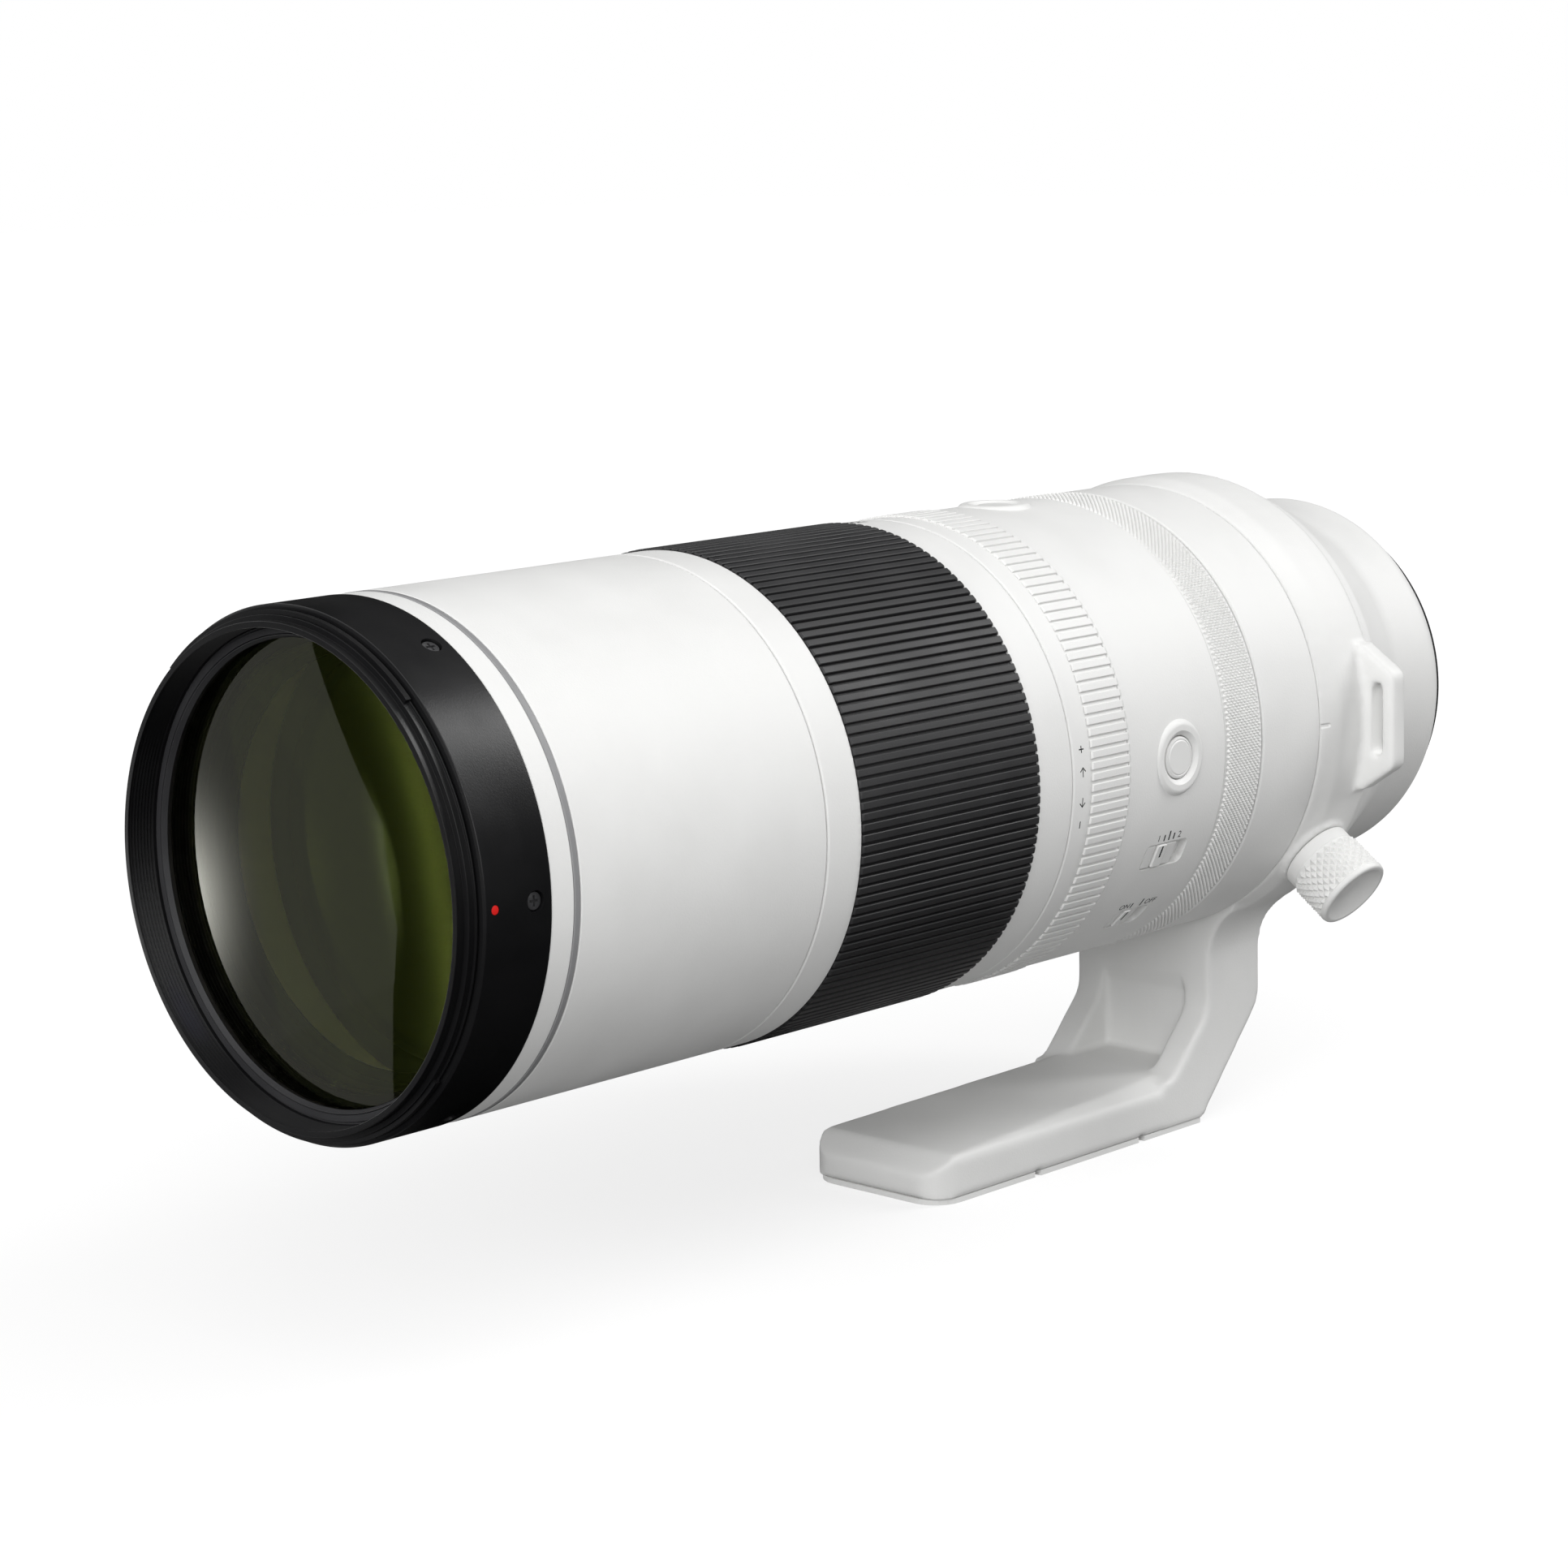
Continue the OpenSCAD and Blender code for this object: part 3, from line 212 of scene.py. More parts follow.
def piece(name, verts, faces, finish):
    """Closed mesh with its faces turned outwards"""
    mesh = bpy.data.meshes.new(name)
    mesh.from_pydata(verts, [], faces)
    mesh.materials.append(finish)
    work = bmesh.new()
    work.from_mesh(mesh)
    bmesh.ops.recalc_face_normals(work, faces=work.faces)
    work.to_mesh(mesh)
    work.free()
    return placed(name, mesh)


def smoothed(part, crease=35):
    """Smooth shading broken at creases, with flat faces kept flat"""
    part.data.shade_smooth()
    part.data.set_sharp_from_angle(angle=math.radians(crease))
    even = part.modifiers.new("even shading", "WEIGHTED_NORMAL")
    even.keep_sharp = True
    return part


def turned(name, outline, finish, around=240, at=on_axis):
    """Piece turned from a closed outline of (radius, station) points"""
    verts, faces, rings = [], [], []
    for radius, station in outline:
        count = around if radius > 0 else 1
        rings.append([len(verts) + i % count for i in range(around)])
        verts += [at(radius, station, 360 * i / around) for i in range(count)]
    for here, there in zip(rings, rings[1:] + rings[:1]):
        for i in range(around):
            corners = dict.fromkeys((here[i - 1], here[i], there[i], there[i - 1]))
            if len(corners) > 2:
                faces.append(tuple(corners))
    return piece(name, verts, faces, finish)


def fitted(part, body, slot, *stands_for):
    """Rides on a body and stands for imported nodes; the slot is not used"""
    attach(part, body)
    if stands_for:
        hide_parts(*stands_for)


ext_s0, ext_s1 = span("extension_tube")
ext_flange_r, ext_flange, ext_r, ext_in = 48.55, 4, 44.4, 42.9
ridge_deep, ridge_pitch, ridge_margin = 0.35, 2.0, 4
ridges = []
for i in range(int((ext_s1 - ext_s0 - 2 * ridge_margin) / ridge_pitch)):
    ridge_s = ext_s1 - ridge_margin - i * ridge_pitch
    ridges += [(ext_in, ridge_s), (ext_in + ridge_deep, ridge_s - 0.9 * ridge_pitch)]
extension_black = coated("hard_anodising", (0.035, 0.035, 0.037), (0.027, 0.027, 0.029), (0.35, 0.5),
                         relief=0.006, specular=0.25)
extension = turned("black_extension_tube", rounded([
    (ext_in, ext_s0, 0), (ext_flange_r, ext_s0, 0.4), (ext_flange_r, ext_s0 + ext_flange, 0.4),
    (ext_r, ext_s0 + ext_flange, 0.3), (ext_r, ext_s1, 0.4), (ext_in, ext_s1, 0)]) + ridges,
    extension_black, 160)
fitted(smoothed(extension), "front_barrel", "black_metal", "extension_tube")


# Switch barrel: the fixed white section with two buttons and two slide switches. A thin aluminium
# casting, bored and milled, then sprayed with a heat-reflecting white paint that dries to a fine grain.
def reach(node):
    """Outer radius of a node that is round the optical axis"""
    low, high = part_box(node)
    return (high.x - low.x) / 2 / MM


def applied(part):
    """Turns what a piece's modifiers make into its plain mesh"""
    mesh = bpy.data.meshes.new_from_object(part.evaluated_get(bpy.context.evaluated_depsgraph_get()))
    part.modifiers.clear()
    part.data = mesh
    return part


def boolean(part, tools, operation):
    """Joins closed shapes to a piece or cuts them out of it"""
    for tool in tools:
        change = part.modifiers.new("change", "BOOLEAN")
        change.solver = "EXACT"
        change.operation = operation
        change.object = tool
    applied(part)
    for tool in tools:
        bpy.data.objects.remove(tool)
    return part


def outward(station, angle):
    """Matrix that stands a shape on the barrel: x rearwards, y up round it, z outwards from the axis"""
    turn = math.radians(angle)
    out = Vector((math.cos(turn), 0, math.sin(turn)))
    rear = Vector((0, 1, 0))
    up = Vector((-math.sin(turn), 0, math.cos(turn)))
    place = Matrix((rear, up, out)).transposed().to_4x4()
    place.translation = on_axis(0, station, 0)
    return place


def upright(place):
    """Point function for shapes turned about the z axis of a matrix"""
    def at(radius, height, turn):
        spin = math.radians(turn)
        return place @ (Vector((radius * math.cos(spin), radius * math.sin(spin), height)) * MM)
    return at


def block(name, size, place, finish, bevel=0.0, steps=2):
    """Box of (x, y, z) ranges in millimetres with rounded edges, set in place by a matrix"""
    work = bmesh.new()
    bmesh.ops.create_cube(work, size=1)
    low, high = Vector(r[0] for r in size), Vector(r[1] for r in size)
    for vert in work.verts:
        vert.co = Vector(low[i] + (vert.co[i] + 0.5) * (high[i] - low[i]) for i in range(3))
    if bevel:
        bmesh.ops.bevel(work, geom=work.edges, offset=bevel, segments=steps, affect="EDGES", profile=0.5)
    bmesh.ops.transform(work, matrix=place @ Matrix.Scale(MM, 4), verts=work.verts)
    bmesh.ops.recalc_face_normals(work, faces=work.faces)
    mesh = bpy.data.meshes.new(name)
    work.to_mesh(mesh)
    work.free()
    mesh.materials.append(finish)
    return placed(name, mesh)


def pill(length, width, low, high, corner, place, finish):
    """Closed slot shape with rounded corners, from one height to another"""
    outline = rounded([(0, -width / 2, corner), (length, -width / 2, corner),
                       (length, width / 2, corner), (0, width / 2, corner)], 6)
    verts = [place @ (Vector((x, y, z)) * MM) for z in (low, high) for x, y in outline]
    count = len(outline)
    faces = [tuple(range(count)), tuple(range(count, 2 * count))]
    faces += [((i - 1) % count, i, i + count, (i - 1) % count + count) for i in range(count)]
    return piece("slot_cutter", verts, faces, finish)


barrel_r, sleeve_r, sleeve_in = reach("rear_barrel"), 49.2, 48.1
edge, ring_gap = 0.45, 0.3
white_paint = coated("white_barrel_paint", (0.80, 0.80, 0.79), (0.77, 0.77, 0.76), (0.48, 0.58),
                     grains=2600, relief=0.03, specular=0.35)
switch_s0, switch_s1 = span("switch_barrel")
tension_s0, tension_s1 = span("tension_ring")
control_s0, control_s1 = span("control_ring")
face_s0, face_s1 = tension_s1 + ring_gap, control_s0 - ring_gap
switch_barrel = turned("white_switch_barrel", rounded([
    (sleeve_in, switch_s0, 0), (sleeve_r, switch_s0, 0.2), (sleeve_r, face_s0, 0),
    (barrel_r, face_s0, edge), (barrel_r, face_s1, edge), (sleeve_r, face_s1, 0),
    (sleeve_r, switch_s1, 0.2), (sleeve_in, switch_s1, 0)]), white_paint, 360)
button_s, button_r, button_gap = face_s0 + 16.8, 4.5, 0.25
pad_r, pad_top, pad_foot, hole_floor, cut_top = 7.4, barrel_r + 0.4, 48.6, 45, barrel_r + 3
button_angles = {"side_button": 0, "top_button": 90}
pads, holes = [], []
for angle in button_angles.values():
    here = upright(outward(button_s, angle))
    pads.append(turned("button_pad", rounded([
        (0, pad_foot, 0), (pad_r + 1.6, pad_foot, 0), (pad_r + 1.2, pad_foot + 1, 0.6), (pad_r, pad_top, 1.2),
        (0, pad_top, 0)]), white_paint, 72, here))
    holes.append(turned("button_hole", rounded([
        (0, hole_floor, 0), (button_r + button_gap, hole_floor, 0),
        (button_r + button_gap, barrel_r - 0.45, 0.25), (pad_r - 1.4, barrel_r + 0.55, 0.5),
        (pad_r - 1.2, cut_top, 0), (0, cut_top, 0)]), white_paint, 72, here))
# Each switch's window: how far behind the face's front edge it starts, its length, and its angle
windows = {"focus_mode_switch": (9.8, 14.2, -25), "stabilizer_switch": (11.6, 11.3, -46)}
window_w, window_corner, window_floor = 6.2, 1.4, sleeve_in + 0.7
for front, length, angle in windows.values():
    holes.append(pill(length, window_w, window_floor, cut_top, window_corner,
                      outward(face_s0 + front, angle), white_paint))
boolean(switch_barrel, pads, "UNION")
boolean(switch_barrel, holes, "DIFFERENCE")
fitted(smoothed(switch_barrel, 25), "main_barrel", "white_paint", "switch_barrel")

# Push buttons: small caps moulded in white plastic, with a fine step round a dished top. Each is sprung
# under the barrel wall, which holds it by a flange at its foot.
white_cap = coated("white_moulded_cap", (0.80, 0.80, 0.79), (0.78, 0.78, 0.77), (0.42, 0.5),
                   grains=4000, relief=0.01, specular=0.4)
cap_foot, cap_flange_r, cap_flange = sleeve_in + 0.6, button_r + 0.7, 0.5
for node, angle in button_angles.items():
    cap = turned("white_" + node, rounded([
        (0, cap_foot, 0), (cap_flange_r, cap_foot, 0), (cap_flange_r, cap_foot + cap_flange, 0),
        (button_r, cap_foot + cap_flange, 0), (button_r, barrel_r - 0.25, 0.25),
        (button_r - 0.55, barrel_r - 0.05, 0.15), (button_r - 0.7, barrel_r - 0.18, 0.08),
        (button_r - 1.0, barrel_r + 0.05, 0.15), (0, barrel_r - 0.1, 0)]),
        white_cap, 96, upright(outward(button_s, angle)))
    fitted(smoothed(cap), node, "white_plastic", node)

# Slide switches: white moulded sliders with three thumb steps, the middle one with a black index line.
# Each is laid in its window from inside and slides on the window's floor.
ink = coated("black_ink", (0.02, 0.02, 0.022), (0.015, 0.015, 0.016), (0.5, 0.6), relief=0.002, specular=0.3)
slider_travel, slider_low, slider_top = 3.2, sleeve_in + 0.9, barrel_r + 0.25
slider_gap, slider_side, slider_steps, side_step_drop = 0.3, 0.25, 3, 0.35


def joined(name, parts):
    """One piece from several, keeping each one's finish"""
    finishes = list(dict.fromkeys(part.data.materials[0] for part in parts))
    whole = bmesh.new()
    for part in parts:
        before = len(whole.faces)
        whole.from_mesh(part.data)
        whole.faces.ensure_lookup_table()
        for face in whole.faces[before:]:
            face.material_index = finishes.index(part.data.materials[0])
        bpy.data.objects.remove(part)
    mesh = bpy.data.meshes.new(name)
    whole.to_mesh(mesh)
    whole.free()
    for finish in finishes:
        mesh.materials.append(finish)
    return placed(name, mesh)


for node, (front, length, angle) in windows.items():
    place = outward(face_s0 + front + slider_gap, angle)
    slider_len = length - slider_travel - 2 * slider_gap
    half_w = window_w / 2 - slider_side
    step = slider_len / slider_steps
    parts = [block(node, ((0, slider_len), (-half_w, half_w), (slider_low, barrel_r - 0.75)), place,
                   white_cap, 0.25)]
    for k in range(slider_steps):
        step_top = slider_top - (0 if k == 1 else side_step_drop)
        parts.append(block(node, ((k * step + 0.2, (k + 1) * step - 0.2), (-half_w + 0.1, half_w - 0.1),
                                  (slider_low + 0.3, step_top)), place, white_cap, 0.3))
    parts.append(block(node, ((1.5 * step - 0.25, 1.5 * step + 0.25), (-0.3, half_w - 0.35),
                              (slider_top - 0.3, slider_top + 0.015)), place, ink, 0.01, 1))
    fitted(smoothed(joined("white_" + node, parts), 30), node, "white_plastic", node)

# Printing on the switch barrel: black ink, pad-printed on the paint and baked. Ticks mark each slider's
# places, with plain figures or words beside them.
ink_height, ink_root, capital_share = 0.015, -0.05, 0.69
tick_half, tick_short, tick_long = 0.2, 1.5, 2.2
mark_height, mark_gap, letter_half = 1.5, 1.3, 0.6


def lettering(name, words, height, at):
    """Inked words: at turns (along, up, lift) in millimetres into a point on the piece"""
    curve = bpy.data.curves.new(name, "FONT")
    curve.body = words
    curve.size = height / capital_share
    curve.align_x, curve.align_y = "CENTER", "CENTER"
    curve.extrude = ink_height
    curve.resolution_u = 4
    flat = placed(name, curve)
    bpy.context.view_layer.update()
    mesh = bpy.data.meshes.new_from_object(flat.evaluated_get(bpy.context.evaluated_depsgraph_get()))
    bpy.data.objects.remove(flat)
    work = bmesh.new()
    work.from_mesh(mesh)
    bmesh.ops.remove_doubles(work, verts=work.verts, dist=0.001)
    for vert in work.verts:
        vert.co = at(*vert.co)
    bmesh.ops.recalc_face_normals(work, faces=work.faces)
    work.to_mesh(mesh)
    work.free()
    mesh.materials.clear()
    mesh.materials.append(ink)
    return placed(name, mesh)


def round_barrel(station, angle):
    """Printing place on the barrel: along runs rearwards and up runs round it"""
    def at(along, up, lift):
        return on_axis(barrel_r + lift, station + along, angle + math.degrees(up / barrel_r))
    return at


def ring_part(name, inner, outer, s0, s1, middle, half, finish, steps=24):
    """Closed piece of a ring between two angles"""
    verts, faces = [], []
    for k in range(steps + 1):
        angle = middle - half + 2 * half * k / steps
        verts += [on_axis(r, s, angle) for r, s in ((inner, s0), (outer, s0), (outer, s1), (inner, s1))]
    for k in range(0, 4 * steps, 4):
        faces += [(k + i, k + (i + 1) % 4, k + 4 + (i + 1) % 4, k + 4 + i) for i in range(4)]
    faces += [(0, 1, 2, 3), tuple(4 * steps + i for i in range(4))]
    return piece(name, verts, faces, finish)


prints = []
marks = {"focus_mode_switch": ("1", "2", 3), "stabilizer_switch": ("ON", "OFF", 2)}
for node, (left, right, ticks) in marks.items():
    front, length, angle = windows[node]
    rest_s = face_s0 + front + (length - slider_travel) / 2
    tick_low = window_w / 2 + 0.5
    pitch = slider_travel / (ticks - 1)
    for k in range(ticks):
        tick_s, tick_up = rest_s + k * pitch, tick_short if k % 2 == 0 else tick_long
        middle = angle + math.degrees((tick_low + tick_up / 2) / barrel_r)
        prints.append(ring_part("tick", barrel_r + ink_root, barrel_r + ink_height, tick_s - tick_half,
                                tick_s + tick_half, middle, math.degrees(tick_up / 2 / barrel_r), ink, 6))
    words_angle = angle + math.degrees((tick_low + 0.8) / barrel_r)
    for words, offset in ((left, -mark_gap - letter_half * len(left)),
                          (right, slider_travel + mark_gap + letter_half * len(right))):
        prints.append(lettering("figure", words, mark_height, round_barrel(rest_s + offset, words_angle)))
fitted(joined("switch_printing", prints), "main_barrel", "black_plastic")

# Rear barrel: a plain white turning that joins the switch barrel to the rear cover. Behind its visible
# face it steps down to the journal that runs in the collar.
plain_s0, plain_s1 = span("rear_barrel")
cover_s0, cover_s1 = span("rear_cover")
collar_s0 = span("collar_lining")[0] - 1
plain_face = collar_s0 - ring_gap
journal_r, spigot_fit_r, spigot_in = 48.65, 47.05, 45.5
lap_s, bore_s = plain_s0 + 6.1, plain_s0 + 17.2
rear_barrel = turned("white_rear_barrel", rounded([
    (sleeve_in, lap_s, 0), (sleeve_r + 0.05, lap_s, 0), (sleeve_r + 0.05, plain_s0, 0),
    (barrel_r, plain_s0, edge), (barrel_r, plain_face, edge), (journal_r, plain_face, 0),
    (journal_r, cover_s0 - 0.1, 0), (spigot_fit_r, cover_s0 - 0.1, 0), (spigot_fit_r, plain_s1, 0),
    (spigot_in, plain_s1, 0), (spigot_in, bore_s, 0), (sleeve_in, bore_s, 0)]), white_paint)
fitted(smoothed(rear_barrel), "main_barrel", "white_paint", "rear_barrel")

# Rear cover: a thin white casting that draws in to the tail and carries the metal mount on its end.
# It is pushed over the rear barrel's spigot and painted like the barrel.
neck_r, tail_r, tail_end_r, cover_fit_r, cover_in = journal_r + 1.5, 42.9, 39.6, 47.1, 25.0
rear_cover = turned("white_rear_cover", rounded([
    (cover_fit_r, cover_s0, 0), (neck_r, cover_s0, 0.6), (neck_r - 0.4, cover_s0 + 4.5, 5),
    (tail_r, cover_s0 + 21, 14), (tail_r - 0.3, cover_s1 - 5, 6), (tail_end_r, cover_s1 - 0.4, 1),
    (tail_end_r - 0.6, cover_s1, 0.3), (cover_in, cover_s1, 0), (cover_in, cover_s1 - 3, 0),
    (tail_r - 5.3, cover_s1 - 3, 0), (tail_r - 2.1, cover_s1 - 6, 0), (tail_r - 1.8, cover_s0 + 20, 0),
    (cover_fit_r, cover_s0 + 8.7, 0)], 8), white_paint)
fitted(smoothed(rear_cover), "main_barrel", "white_paint", "rear_cover")

# Mount seal: a soft black rubber lip round the metal flange that keeps rain out of the camera. It is
# moulded in one ring and pressed on before the mount is screwed down.
seal_s0, seal_s1 = span("mount_seal")
seal_in, seal_groove_r, seal_lip_r = 34.6, 36.2, 36.6
soft_rubber = coated("soft_rubber", (0.018, 0.018, 0.019), (0.013, 0.013, 0.014), (0.6, 0.75),
                     relief=0.015, specular=0.2)
seal = turned("rubber_mount_seal", rounded([
    (seal_in, seal_s0, 0), (tail_end_r - 0.7, seal_s0, 0), (tail_end_r - 0.3, seal_s1, 0.25),
    (seal_lip_r, seal_s1 - 0.1, 0.3), (seal_groove_r, seal_s0 + 0.75, 0.2), (seal_in, seal_s0 + 0.8, 0)]),
    soft_rubber)
fitted(smoothed(seal), "main_barrel", "rubber", "mount_seal")

# Bayonet mount: chromed brass flange with three lugs that lock in the camera, fixed by four screws.
# It is turned in one piece, so its chrome keeps the fine rings of the lathe tool.
mount_s0, mount_s1 = span("bayonet_mount")
flange_s = mount_s1 - 5.5
flange_r, spigot_r, throat_r, step_r, step_s = 34.4, 25.6, 23.0, 27.4, flange_s - 0.4
lug_count, lug_rise, lug_half, lug_first = 3, 1.3, 26, -15
lug_s0, lug_s1 = flange_s + 2.6, flange_s + 4.4


def lathe_turned(name, colour, rough, rings=9000, relief=0.002):
    """Plated metal with the marks of the lathe, rings along the axis, in its gloss and relief"""
    material, tree, surface = new_finish(name)
    place = added(tree, "TexCoord").outputs["Object"]
    axis = added(tree, "Mapping", {"Vector": place, "Location": (0, 0, -axis_z)})
    apart = added(tree, "SeparateXYZ", {"Vector": axis.outputs["Vector"]}).outputs
    across = added(tree, "CombineXYZ", {"X": apart["X"], "Z": apart["Z"]})
    radius = added(tree, "VectorMath", {0: across.outputs["Vector"]}, operation="LENGTH")
    along = added(tree, "Math", {0: radius.outputs["Value"], 1: apart["Y"]}, operation="ADD")
    marks = added(tree, "TexNoise", {"W": along.outputs["Value"], "Scale": rings}, noise_dimensions="1D")
    gloss = added(tree, "MapRange", {"Value": marks.outputs["Fac"], "To Min": rough[0], "To Max": rough[1]})
    bump = added(tree, "Bump", {"Height": marks.outputs["Fac"], "Distance": relief * MM})
    feed(surface, {"Base Color": (*colour, 1), "Metallic": 1, "Roughness": gloss.outputs["Result"],
                   "Normal": bump.outputs["Normal"]})
    return material


chrome = lathe_turned("chromed_mount", (0.62, 0.62, 0.63), (0.16, 0.3))
mount = turned("chromed_bayonet_mount", rounded([
    (throat_r, mount_s0, 0), (flange_r, mount_s0, 0), (flange_r, flange_s, 0.3), (step_r, flange_s, 0.2),
    (step_r, step_s, 0.1), (spigot_r, step_s, 0.1), (spigot_r, mount_s1, 0.4), (throat_r, mount_s1, 0.4)]),
    chrome)
lugs = [ring_part("lug", spigot_r - 0.5, spigot_r + lug_rise, lug_s0, lug_s1,
                  lug_first - 360 / lug_count * i, lug_half, chrome) for i in range(lug_count)]
screw_count, screw_at, screw_first, screw_head_r = 4, 30.4, 45, 1.7
bore_r, bore_floor = 1.8, flange_s - 1.1
rearward = Matrix(((1, 0, 0, 0), (0, 0, 1, rim_y), (0, -1, 0, axis_z), (0, 0, 0, 1)))
counterbores = []
for i in range(screw_count):
    turn = Matrix.Rotation(math.radians(screw_first + 360 / screw_count * i), 4, "Z")
    bore_at = upright(rearward @ turn @ Matrix.Translation((screw_at * MM, 0, 0)))
    counterbores.append(turned("counterbore", [(0, bore_floor), (bore_r, bore_floor), (bore_r, flange_s + 1),
                                               (0, flange_s + 1)], chrome, 48, bore_at))
boolean(mount, lugs, "UNION")
boolean(mount, counterbores, "DIFFERENCE")
fitted(smoothed(mount, 30), "main_barrel", "chrome", "bayonet_mount")

# Mount screws: four small blackened steel screws with a cross recess, driven through the flange into
# the rear cover. Their heads are turned flat and sit just below the flange's face.
black_steel = coated("blackened_screw_steel", (0.05, 0.05, 0.052), (0.035, 0.035, 0.037), (0.3, 0.42),
                     grains=5000, relief=0.004, specular=0.5)
screw_head_s0, screw_head_s1, screw_shank_r = bore_floor + 0.05, flange_s - 0.25, 0.8


def ring_tree():
    """Copies of a unit round the Y axis, in rows along it, every second row shifted by part of a step"""
    tree = bpy.data.node_groups.new("copies round an axis", "GeometryNodeTree")
    tree.interface.new_socket("Unit", in_out="INPUT", socket_type="NodeSocketGeometry")
    for label, kind in (("Around", "Int"), ("Rows", "Int"), ("Row Pitch", "Float"), ("Stagger", "Float"),
                        ("Start", "Float"), ("Finish", "Material")):
        tree.interface.new_socket(label, in_out="INPUT", socket_type="NodeSocket" + kind)
    tree.interface.new_socket("Copies", in_out="OUTPUT", socket_type="NodeSocketGeometry")
    add = tree.nodes.new
    given, result = add("NodeGroupInput").outputs, add("NodeGroupOutput")

    def worked(operation, first, second=0.0):
        """Result of a Math node fed by sockets or plain numbers"""
        return added(tree, "Math", {0: first, 1: second}, operation=operation).outputs[0]

    index = add("GeometryNodeInputIndex").outputs["Index"]
    around = given["Around"]
    row = worked("FLOOR", worked("DIVIDE", worked("ADD", index, 0.5), around))
    shift = worked("MULTIPLY", worked("MODULO", row, 2), given["Stagger"])
    turns = worked("DIVIDE", worked("ADD", index, shift), around)
    angle = worked("ADD", worked("MULTIPLY", turns, 2 * math.pi), given["Start"])
    place = added(tree, "CombineXYZ", {"Y": worked("MULTIPLY", row, given["Row Pitch"])})
    turn = added(tree, "CombineXYZ", {"Y": worked("MULTIPLY", angle, -1)})
    points, copies = add("GeometryNodePoints"), add("GeometryNodeInstanceOnPoints")
    real, paint = add("GeometryNodeRealizeInstances"), add("GeometryNodeSetMaterial")
    feed(points, {"Count": worked("MULTIPLY", around, given["Rows"]), "Position": place.outputs["Vector"]})
    feed(copies, {"Points": points.outputs["Points"], "Instance": given["Unit"],
                  "Rotation": turn.outputs["Vector"]})
    feed(real, {"Geometry": copies.outputs["Instances"]})
    feed(paint, {"Geometry": real.outputs["Geometry"], "Material": given["Finish"]})
    feed(result, {"Copies": paint.outputs["Geometry"]})
    return tree


ring_copies = ring_tree()


def repeated(unit, around, rows=1, pitch=0.0, stagger=0.0, start=0.0, about=None):
    """Turns one unit into all its copies round the optical axis, or round the Y axis of a matrix"""
    about = about or Matrix.Translation((0, 0, axis_z))
    unit.data.transform(about.inverted())
    change = unit.modifiers.new("copies", "NODES")
    change.node_group = ring_copies
    values = {"Around": around, "Rows": rows, "Row Pitch": pitch * MM, "Stagger": stagger,
              "Start": math.radians(start), "Finish": unit.data.materials[0]}
    for item in ring_copies.interface.items_tree:
        if item.in_out == "INPUT" and item.name in values:
            change[item.identifier] = values[item.name]
    applied(unit)
    unit.data.transform(about)
    return unit


def cross_screw(name, place, head_r, low, high, shank_r, shank_low, finish):
    """Flat-headed screw with a cross recess, its axis along z of a matrix"""
    screw = turned(name, rounded([
        (0, shank_low, 0), (shank_r, shank_low, 0), (shank_r, low, 0), (head_r, low, 0), (head_r, high, 0.2),
        (0, high, 0)], 2), finish, 32, upright(place))
    long, thin, deep = 0.62 * head_r, 0.16 * head_r, 0.45
    arms = [block("arm", ((-a, a), (-b, b), (high - deep, high + 1)), place, finish)
            for a, b in ((long, thin), (thin, long))]
    return boolean(screw, arms, "DIFFERENCE")


mount_screws = cross_screw("black_mount_screws", rearward @ Matrix.Translation((screw_at * MM, 0, 0)),
                           screw_head_r, screw_head_s0, screw_head_s1, screw_shank_r,
                           span("mount_screws")[0], black_steel)
repeated(mount_screws, screw_count, start=screw_first)
fitted(smoothed(mount_screws), "main_barrel", "dark_steel", "mount_screws")

# Rear baffle and contact block: parts moulded in black plastic for the throat of the mount, one to stop
# stray light and one to hold the contact pins. The mount's screws clamp both.
moulded_black = coated("moulded_black", (0.02, 0.02, 0.021), (0.014, 0.014, 0.015), (0.45, 0.6),
                       grains=2200, relief=0.02, specular=0.25)
dress(moulded_black, "rear_baffle", "contact_block")

# Control ring: a narrow white ring just ahead of the plain barrel, turned in aluminium, diamond-knurled
# all over for grip and painted. It runs on the switch barrel's sleeve.
control_top, ring_in = reach("control_ring"), sleeve_r + 0.3
control_base, control_pitch, control_edge = control_top - 0.7, 1.2, 0.6


def knurl(name, base, top, s0, s1, pitch, at, about=None, root=0.4):
    """Diamond points in staggered rows, each a low pyramid closed below the surface it stands on"""
    around = round(2 * math.pi * base / pitch)
    half = 180 / around
    step = pitch / 2
    rows = round((s1 - s0) / step) - 1
    first = s0 + step
    verts = [at(top, first, 0), at(base, first - step, 0), at(base, first, half),
             at(base, first + step, 0), at(base, first, -half), at(base - root, first, 0)]
    faces = [(0, 1, 2), (0, 2, 3), (0, 3, 4), (0, 4, 1), (5, 2, 1), (5, 3, 2), (5, 4, 3), (5, 1, 4)]
    return repeated(piece(name, verts, faces, white_paint), around, rows, step, 0.5, about=about)


control_body = turned("control_body", rounded([
    (ring_in, control_s0, 0), (control_base, control_s0, 0.2), (control_base, control_s1, 0.2),
    (ring_in, control_s1, 0)]), white_paint)
control_points = knurl("control_points", control_base, control_top, control_s0 + control_edge,
                       control_s1 - control_edge, control_pitch, on_axis)
control = joined("white_control_ring", [control_body, control_points])
fitted(smoothed(control), "control_ring", "white_paint", "control_ring")

